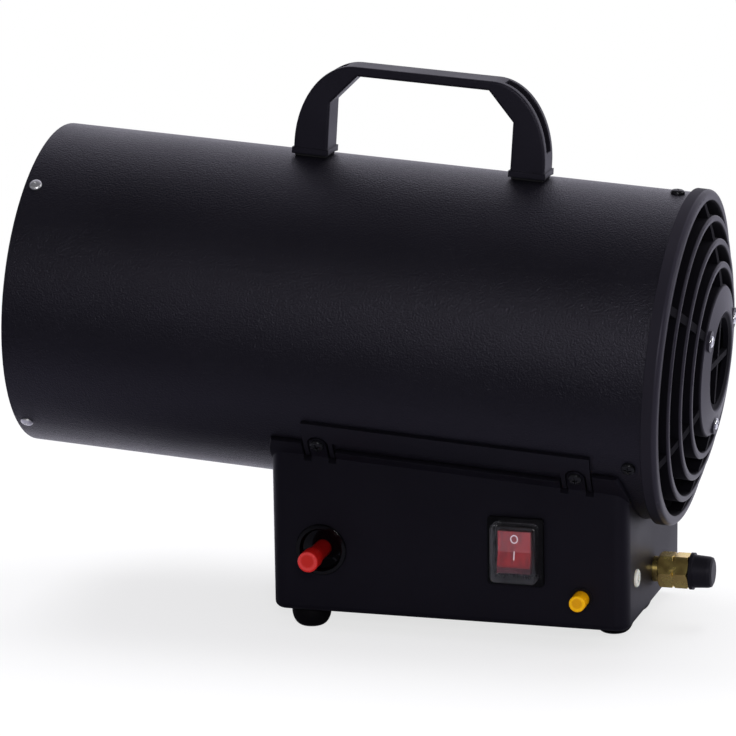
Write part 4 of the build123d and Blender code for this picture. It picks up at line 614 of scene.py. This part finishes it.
red_look = finish("red_button_plastic", red_plastic, 0.34, grain=300, depth=0.00001, mottle=0.06,
                  edge=0.0008, specular_ior_level=0.14)
red_tree = red_look.node_tree
# Shade is painted along the button's side, darker towards its root in the dish.
overlay(red_look, ranged(red_tree, split(red_tree, object_place(red_tree))["Y"], 0.0, root_shade_share,
                         gas_button_front, gas_button_root), red_root_shade)
end_light_and_shade(red_look, "gas_button", gas_button_radius, red_rim_highlight, red_core_shade)
dress(red_look, "gas_button")
dress(finish("polished_black", (0.0006, 0.0006, 0.0010), 0.12, grain=200, depth=0.000006,
             mottle=0.1, spread=0.03, edge=0.0004, specular_ior_level=0.20), "gas_button_dish")
dress(finish("die_cast_valve", (0.56, 0.45, 0.26), 0.42, metal=1.0, grain=420, depth=0.00004,
             mottle=0.12), "gas_valve")

# ------------------------------------------------------------ rocker switch
# A snap-in switch has a black frame and a red see-through rocker, with shade painted on its lower
# end.
# A clear soft cover fits over it, fogged and streaked along its left and lower edges.
# The rocker's round and upright marks are printed on its face in white.
switch_x, switch_height, box_bottom = 0.09656, 0.0561, 0.0126
wall_foot, wall_lean = -0.0676, math.radians(0.9)
wall_y = wall_foot - (switch_height - box_bottom) * math.tan(wall_lean)
wall_frame = (Matrix.Translation((switch_x, wall_y, switch_height))
              @ Matrix.Rotation(math.radians(90) + wall_lean, 4, "X"))
rocker_red, rocker_shade = (0.25, 0.010, 0.012), (0.03, 0.002, 0.006)
low_shade_start, low_shade_end, low_shade_share = 0.0068, 0.0084, 0.95  # where the painted shade starts and is full, below the switch's middle
cover_tint, cover_shade_tint = (0.93, 0.93, 0.95, 1), (0.92, 0.92, 0.94, 1)
cover_ior, clear_rough, fog_rough = 1.30, (0.10, 0.20), 0.55
fog_left, fog_low = (0.0085, 0.0120), (0.0100, 0.0150)  # from the switch's middle
mark_thickness, mark_oval, ray_start = 0.00008, 1.15, 0.02
dress(finish("switch_frame_black", (0.0008, 0.0007, 0.0012), 0.40, grain=500, depth=0.00001,
             edge=0.0006, specular_ior_level=0.12), "switch_housing")


def streaks(tree, squeeze, scale):
    """Upright streaks: random values drawn out in height."""
    drawn = put(tree, "ShaderNodeMapping", {"Vector": object_place(tree),
                                            "Scale": (1, 1, squeeze)}).outputs[0]
    return noise(tree, drawn, scale, detail=2)


rocker_look = finish("rocker_red_clear", rocker_red, 0.22, grain=300, depth=0.00001, mottle=0.1,
                     edge=0.0005, coat_weight=0.4, coat_roughness=0.08)
rocker_tree = rocker_look.node_tree
# Shade is painted on the rocker's lower end; darker upright streaks are laid over it in the same
# colour.
rocker_low_shade = ranged(rocker_tree, split(rocker_tree, object_place(rocker_tree))["Z"], 0.0,
                    low_shade_share, switch_height - low_shade_start, switch_height - low_shade_end)
rocker_streaks = ranged(rocker_tree, streaks(rocker_tree, squeeze=0.15, scale=420), low=0.0,
                        high=0.45, start=0.45, end=0.62)
overlay(rocker_look, math_node(rocker_tree, "MAXIMUM", rocker_low_shade, rocker_streaks), rocker_shade)
dress(rocker_look, "switch_rocker")


def clear_cover():
    """Soft clear vinyl: a glassy shell that lets the lamps' light through to the rocker."""
    made, tree, shader = new_look("clear_vinyl")
    surface = put(tree, "ShaderNodeGroup", {"Grain": 120, "Patch": 90}, node_tree=grain_effect)
    bump = put(tree, "ShaderNodeBump", {"Height": surface.outputs["Height"], "Distance": 0.00012})
    tree.links.new(bump.outputs["Normal"], shader.inputs["Normal"])
    part = split(tree, object_place(tree))
    side = ranged(tree, part["X"], 0.0, 1.0, *(switch_x - far for far in fog_left))
    low = ranged(tree, part["Z"], 0.0, 1.0, *(switch_height - far for far in fog_low))
    uneven = ranged(tree, streaks(tree, squeeze=0.12, scale=700), low=0.3, high=1, start=0.4,
                    end=0.65)
    fogged = math_node(tree, "MULTIPLY", math_node(tree, "MAXIMUM", side, low), uneven)
    clear = ranged(tree, surface.outputs["Tone"], *clear_rough)
    rough = math_node(tree, "ADD", clear, math_node(tree, "MULTIPLY", fogged, fog_rough))
    tree.links.new(rough, shader.inputs["Roughness"])
    shader.inputs["Base Color"].default_value = cover_tint
    shader.inputs["Transmission Weight"].default_value = 1.0
    shader.inputs["IOR"].default_value = cover_ior
    through = put(tree, "ShaderNodeBsdfTransparent", {"Color": cover_shade_tint})
    shadow = put(tree, "ShaderNodeLightPath").outputs["Is Shadow Ray"]
    both = put(tree, "ShaderNodeMixShader", {0: shadow, 1: shader.outputs[0],
                                             2: through.outputs[0]})
    tree.links.new(both.outputs[0], tree.nodes["Material Output"].inputs["Surface"])
    return made


dress(clear_cover(), "switch_cover")


def on_surface(name, node, outline, thickness):
    """A thin printed shape, given as quads in the wall's frame, laid on a node's face."""
    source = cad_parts[node].data
    face = BVHTree.FromPolygons([v.co for v in source.vertices],
                                [p.vertices for p in source.polygons])
    out = wall_frame.to_3x3() @ Vector((0, 0, 1))
    spots = list(dict.fromkeys(spot for quad in outline for spot in quad))
    foot = [face.ray_cast(wall_frame @ Vector((x, y, ray_start)), -out)[0] for x, y in spots]
    tops = [tuple(spots.index(spot) for spot in quad) for quad in outline]
    edges = [(a, b) for top in tops for a, b in zip(top, top[1:] + top[:1])]
    walls = [(b, a, a + len(spots), b + len(spots)) for a, b in edges if (b, a) not in edges]
    mesh = bpy.data.meshes.new(name)
    mesh.from_pydata([place + out * thickness for place in foot] + foot, [], tops + walls)
    return mesh


def ring_quads(centre_y, radius, half_line, steps=32):
    """The squares of an oval ring."""
    quads = []
    for n in range(steps):
        a, b = (math.tau * (k % steps) / steps for k in (n, n + 1))
        quads.append([(r * math.cos(t), centre_y + mark_oval * r * math.sin(t))
                      for r, t in ((radius - half_line, a), (radius + half_line, a),
                                   (radius + half_line, b), (radius - half_line, b))])
    return quads


def bar_quads(centre_y, half_height, half_line, steps=4):
    """The squares of an upright bar."""
    rows = [centre_y - half_height + 2 * half_height * n / steps for n in range(steps + 1)]
    return [[(-half_line, low), (half_line, low), (half_line, high), (-half_line, high)]
            for low, high in zip(rows, rows[1:])]


mark_paint = finish("mark_white", (0.80, 0.80, 0.80), 0.40, grain=600, depth=0.000005, mottle=0.04)
off_ring = ring_quads(centre_y=0.0079, radius=0.0019, half_line=0.00025)
on_bar = bar_quads(centre_y=-0.0014, half_height=0.0024, half_line=0.00028)
for name, quads in (("rocker_mark_off", off_ring), ("rocker_mark_on", on_bar)):
    mesh = on_surface(name, "switch_rocker", quads, mark_thickness)
    mesh.materials.append(mark_paint)
    mark = new_piece(name, mesh)
    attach(mark, "rocker")

# ------------------------------------------------------------ igniter
# The piezo igniter's yellow plunger slides in a black moulded barrel.
# A thin nylon ring nut holds the barrel in the box's wall.
igniter_radius = 0.0046
yellow_plastic = (0.74, 0.34, 0.0006)
# A highlight is painted on the rim of the plunger's end, and shade on its core.
yellow_rim_highlight, yellow_core_shade = (0.80, 0.42, 0.002), (0.62, 0.28, 0.0006)
dress(finish("igniter_barrel", (0.0018, 0.0016, 0.0026), 0.38, grain=400, depth=0.00001,
             specular_ior_level=0.2), "igniter_body")
yellow_look = finish("yellow_plastic", yellow_plastic, 0.36, grain=300, depth=0.00001, mottle=0.05,
                     edge=0.0006, specular_ior_level=0.10)
end_light_and_shade(yellow_look, "igniter_button", igniter_radius, yellow_rim_highlight, yellow_core_shade)
dress(yellow_look, "igniter_button")
dress(finish("ring_nut_nylon", (0.006, 0.006, 0.007), 0.5, grain=500, depth=0.00002),
      "igniter_nut")

# ------------------------------------------------------------ gas inlet
# The gas comes in by a turned brass fitting with a notched left-hand hexagon.
# A push-on rubber cap keeps dust out of its thread.
dress(turned_brass, "inlet_fitting", "inlet_nut")
dress(finish("cap_rubber_black", (0.0080, 0.0075, 0.0100), 0.46, grain=600, depth=0.00003,
             edge=0.0006, dust=0.02, specular_ior_level=0.14, specular_tint=cool_sheen),
      "inlet_cap")

# ------------------------------------------------------------ cord entry and terminals
# A pale nylon bush sits in the cord's hole and closes it.
# Inside, a nylon terminal strip sits on the box's floor.
dress(finish("pale_nylon", (0.70, 0.66, 0.56), 0.38, grain=300, depth=0.00002, mottle=0.06,
             subsurface_weight=0.2), "cord_bush")
dress(finish("terminal_nylon", (0.62, 0.60, 0.54), 0.45, grain=300, depth=0.00002, mottle=0.06),
      "terminal_block")

# ------------------------------------------------------------ studio
# A pale floor runs out into a white backdrop. Two cards lie under and in front of the heater for
# reflections only, as a studio sets them to keep the front of a black object dark.
floor_reach, paper = 9, (0.86, 0.86, 0.87, 1)
white, cool_bounce, cool_air = (1.0, 1.0, 1.0), (0.86, 0.84, 1.0), (0.90, 0.88, 1.0)
near_glow, far_glow, glow_start, glow_end = 0.72, 1.0, 0.25, 1.1
card_reach, card_height, card_rough, card_tint = 1.6, 0.001, 0.9, (0.90, 0.88, 1.05)
card_edges = {"dark_card": (-1.7, -0.26), "grey_card": (-0.26, 0.02)}
card_tones = {"dark_card": 0.01, "grey_card": 0.32}


def ray_kinds(tree):
    """Masks of the camera's own rays, and of those off metal or through glass."""
    path = put(tree, "ShaderNodeLightPath").outputs
    mirror = math_node(tree, "MAXIMUM", path["Is Glossy Ray"], path["Is Transmission Ray"])
    return path["Is Camera Ray"], mirror


def white_floor():
    """Paper that keeps the heater's shadow near it and glows white further out."""
    made, tree, shader = new_look("floor_paper")
    tree.nodes.remove(shader)
    far = put(tree, "ShaderNodeVectorMath", {0: object_place(tree)}, operation="LENGTH")
    sheet = put(tree, "ShaderNodeBsdfDiffuse", {"Color": paper})
    camera_ray, mirror_ray = ray_kinds(tree)
    glow = put(tree, "ShaderNodeEmission", {"Color": mixed(tree, camera_ray, cool_bounce, white),
                                            "Strength": 1.0})
    reach = ranged(tree, far.outputs["Value"], near_glow, far_glow, glow_start, glow_end)
    share = math_node(tree, "MULTIPLY", math_node(tree, "MAXIMUM", camera_ray, mirror_ray), reach)
    both = put(tree, "ShaderNodeMixShader", {0: share, 1: sheet.outputs[0], 2: glow.outputs[0]})
    tree.links.new(both.outputs[0], tree.nodes["Material Output"].inputs["Surface"])
    return made


def stage_sheet(name, left, right, near, far, height, look):
    """A flat sheet of the studio, which isn't part of the heater."""
    mesh = bpy.data.meshes.new(name)
    mesh.from_pydata([(left, near, height), (right, near, height), (right, far, height),
                      (left, far, height)], [], [(0, 1, 2, 3)])
    mesh.materials.append(look)
    sheet = new_piece(name, mesh)
    return sheet


stage_sheet("floor", -floor_reach, floor_reach, -floor_reach, floor_reach, 0, white_floor())
for name, (near, far) in card_edges.items():
    card_look, _, card_shader = new_look(name)
    card_colour = (*(part * card_tones[name] for part in card_tint), 1)
    card_shader.inputs["Base Color"].default_value = card_colour
    card_shader.inputs["Roughness"].default_value = card_rough
    card = stage_sheet(name, -card_reach, card_reach, near, far, card_height, card_look)
    card.visible_camera = card.visible_diffuse = False
    card.visible_shadow = card.visible_transmission = False

# The air is white to the camera. In metal and glass it is bright behind the heater, and dark
# overhead and in front of it. On everything else it casts an even half light.
front_dark, backdrop_white, backdrop_start, backdrop_end = 0.04, 1.0, -0.05, 1.0
overhead_low, overhead_high, overhead_start, overhead_end = 0.02, 0.10, 0.80, 0.90
even_light = 0.5
world = bpy.data.worlds.new("studio")
bpy.context.scene.world = world
world.use_nodes = True
sky = world.node_tree
sky.nodes.remove(sky.nodes["Background"])
looking = split(sky, put(sky, "ShaderNodeTexCoord").outputs["Generated"])
backdrop = ranged(sky, looking["Y"], front_dark, backdrop_white, backdrop_start, backdrop_end,
                  interpolation_type="SMOOTHSTEP")
overhead = ranged(sky, looking["Z"], overhead_low, overhead_high, overhead_start, overhead_end)
camera_ray, mirror_ray = ray_kinds(sky)
mirrored = math_node(sky, "MULTIPLY", mirror_ray, math_node(sky, "MAXIMUM", overhead, backdrop))
lit = math_node(sky, "MULTIPLY", math_node(sky, "SUBTRACT", 1.0, mirror_ray), even_light)
level = math_node(sky, "MAXIMUM", camera_ray, math_node(sky, "ADD", mirrored, lit))
air = put(sky, "ShaderNodeBackground", {"Color": mixed(sky, camera_ray, cool_air, white),
                                        "Strength": level})
sky.links.new(air.outputs[0], sky.nodes["World Output"].inputs["Surface"])


def soft_lamp(name, place, aim, width, height, power):
    """A white soft box."""
    light = bpy.data.lights.new(name, "AREA")
    light.shape, light.size, light.size_y = "RECTANGLE", width, height
    light.energy, light.color = power, white
    lamp = new_piece(name, light)
    lamp.location = place
    lamp.rotation_euler = (Vector(aim) - Vector(place)).to_track_quat("-Z", "Y").to_euler()
    return lamp


soft_lamp("overhead", place=(-0.1, 0.35, 1.5), aim=(0, 0, 0.15), width=1.6, height=0.8,
          power=24).visible_glossy = False
soft_lamp("front_left", place=(-1.2, -1.1, 1.0), aim=(-0.1, 0, 0.15), width=0.7, height=0.7,
          power=0.8)
soft_lamp("right_side", place=(1.5, 0.2, 0.7), aim=(0.15, 0, 0.12), width=0.8, height=0.8, power=6)
soft_lamp("front_fill", place=(0.66, -2.1, 0.92), aim=(0, 0, 0.15), width=0.45, height=0.30,
          power=14)

# ------------------------------------------------------------ camera
# The camera stands where the photographer did, in front of the control side and a little
# above, with a long lens. Its place and its axes come from fitting the casing and the box.
lens_length, sensor_width = 218.3, 36
camera_place = (0.6872, -2.3787, 0.7135)
camera_right, camera_up = Vector((0.9605, 0.2780, -0.0108)), Vector((-0.0527, 0.2199, 0.9741))
camera_back = Vector((0.2732, -0.9351, 0.2259))
camera_data = bpy.data.cameras.new("camera")
camera_data.lens, camera_data.sensor_width = lens_length, sensor_width
camera = new_piece("camera", camera_data)
camera_axes = Matrix((camera_right, camera_up, camera_back)).transposed().to_4x4()
camera.matrix_world = Matrix.Translation(camera_place) @ camera_axes
bpy.context.scene.camera = camera
bpy.context.scene.view_settings.view_transform = "Standard"
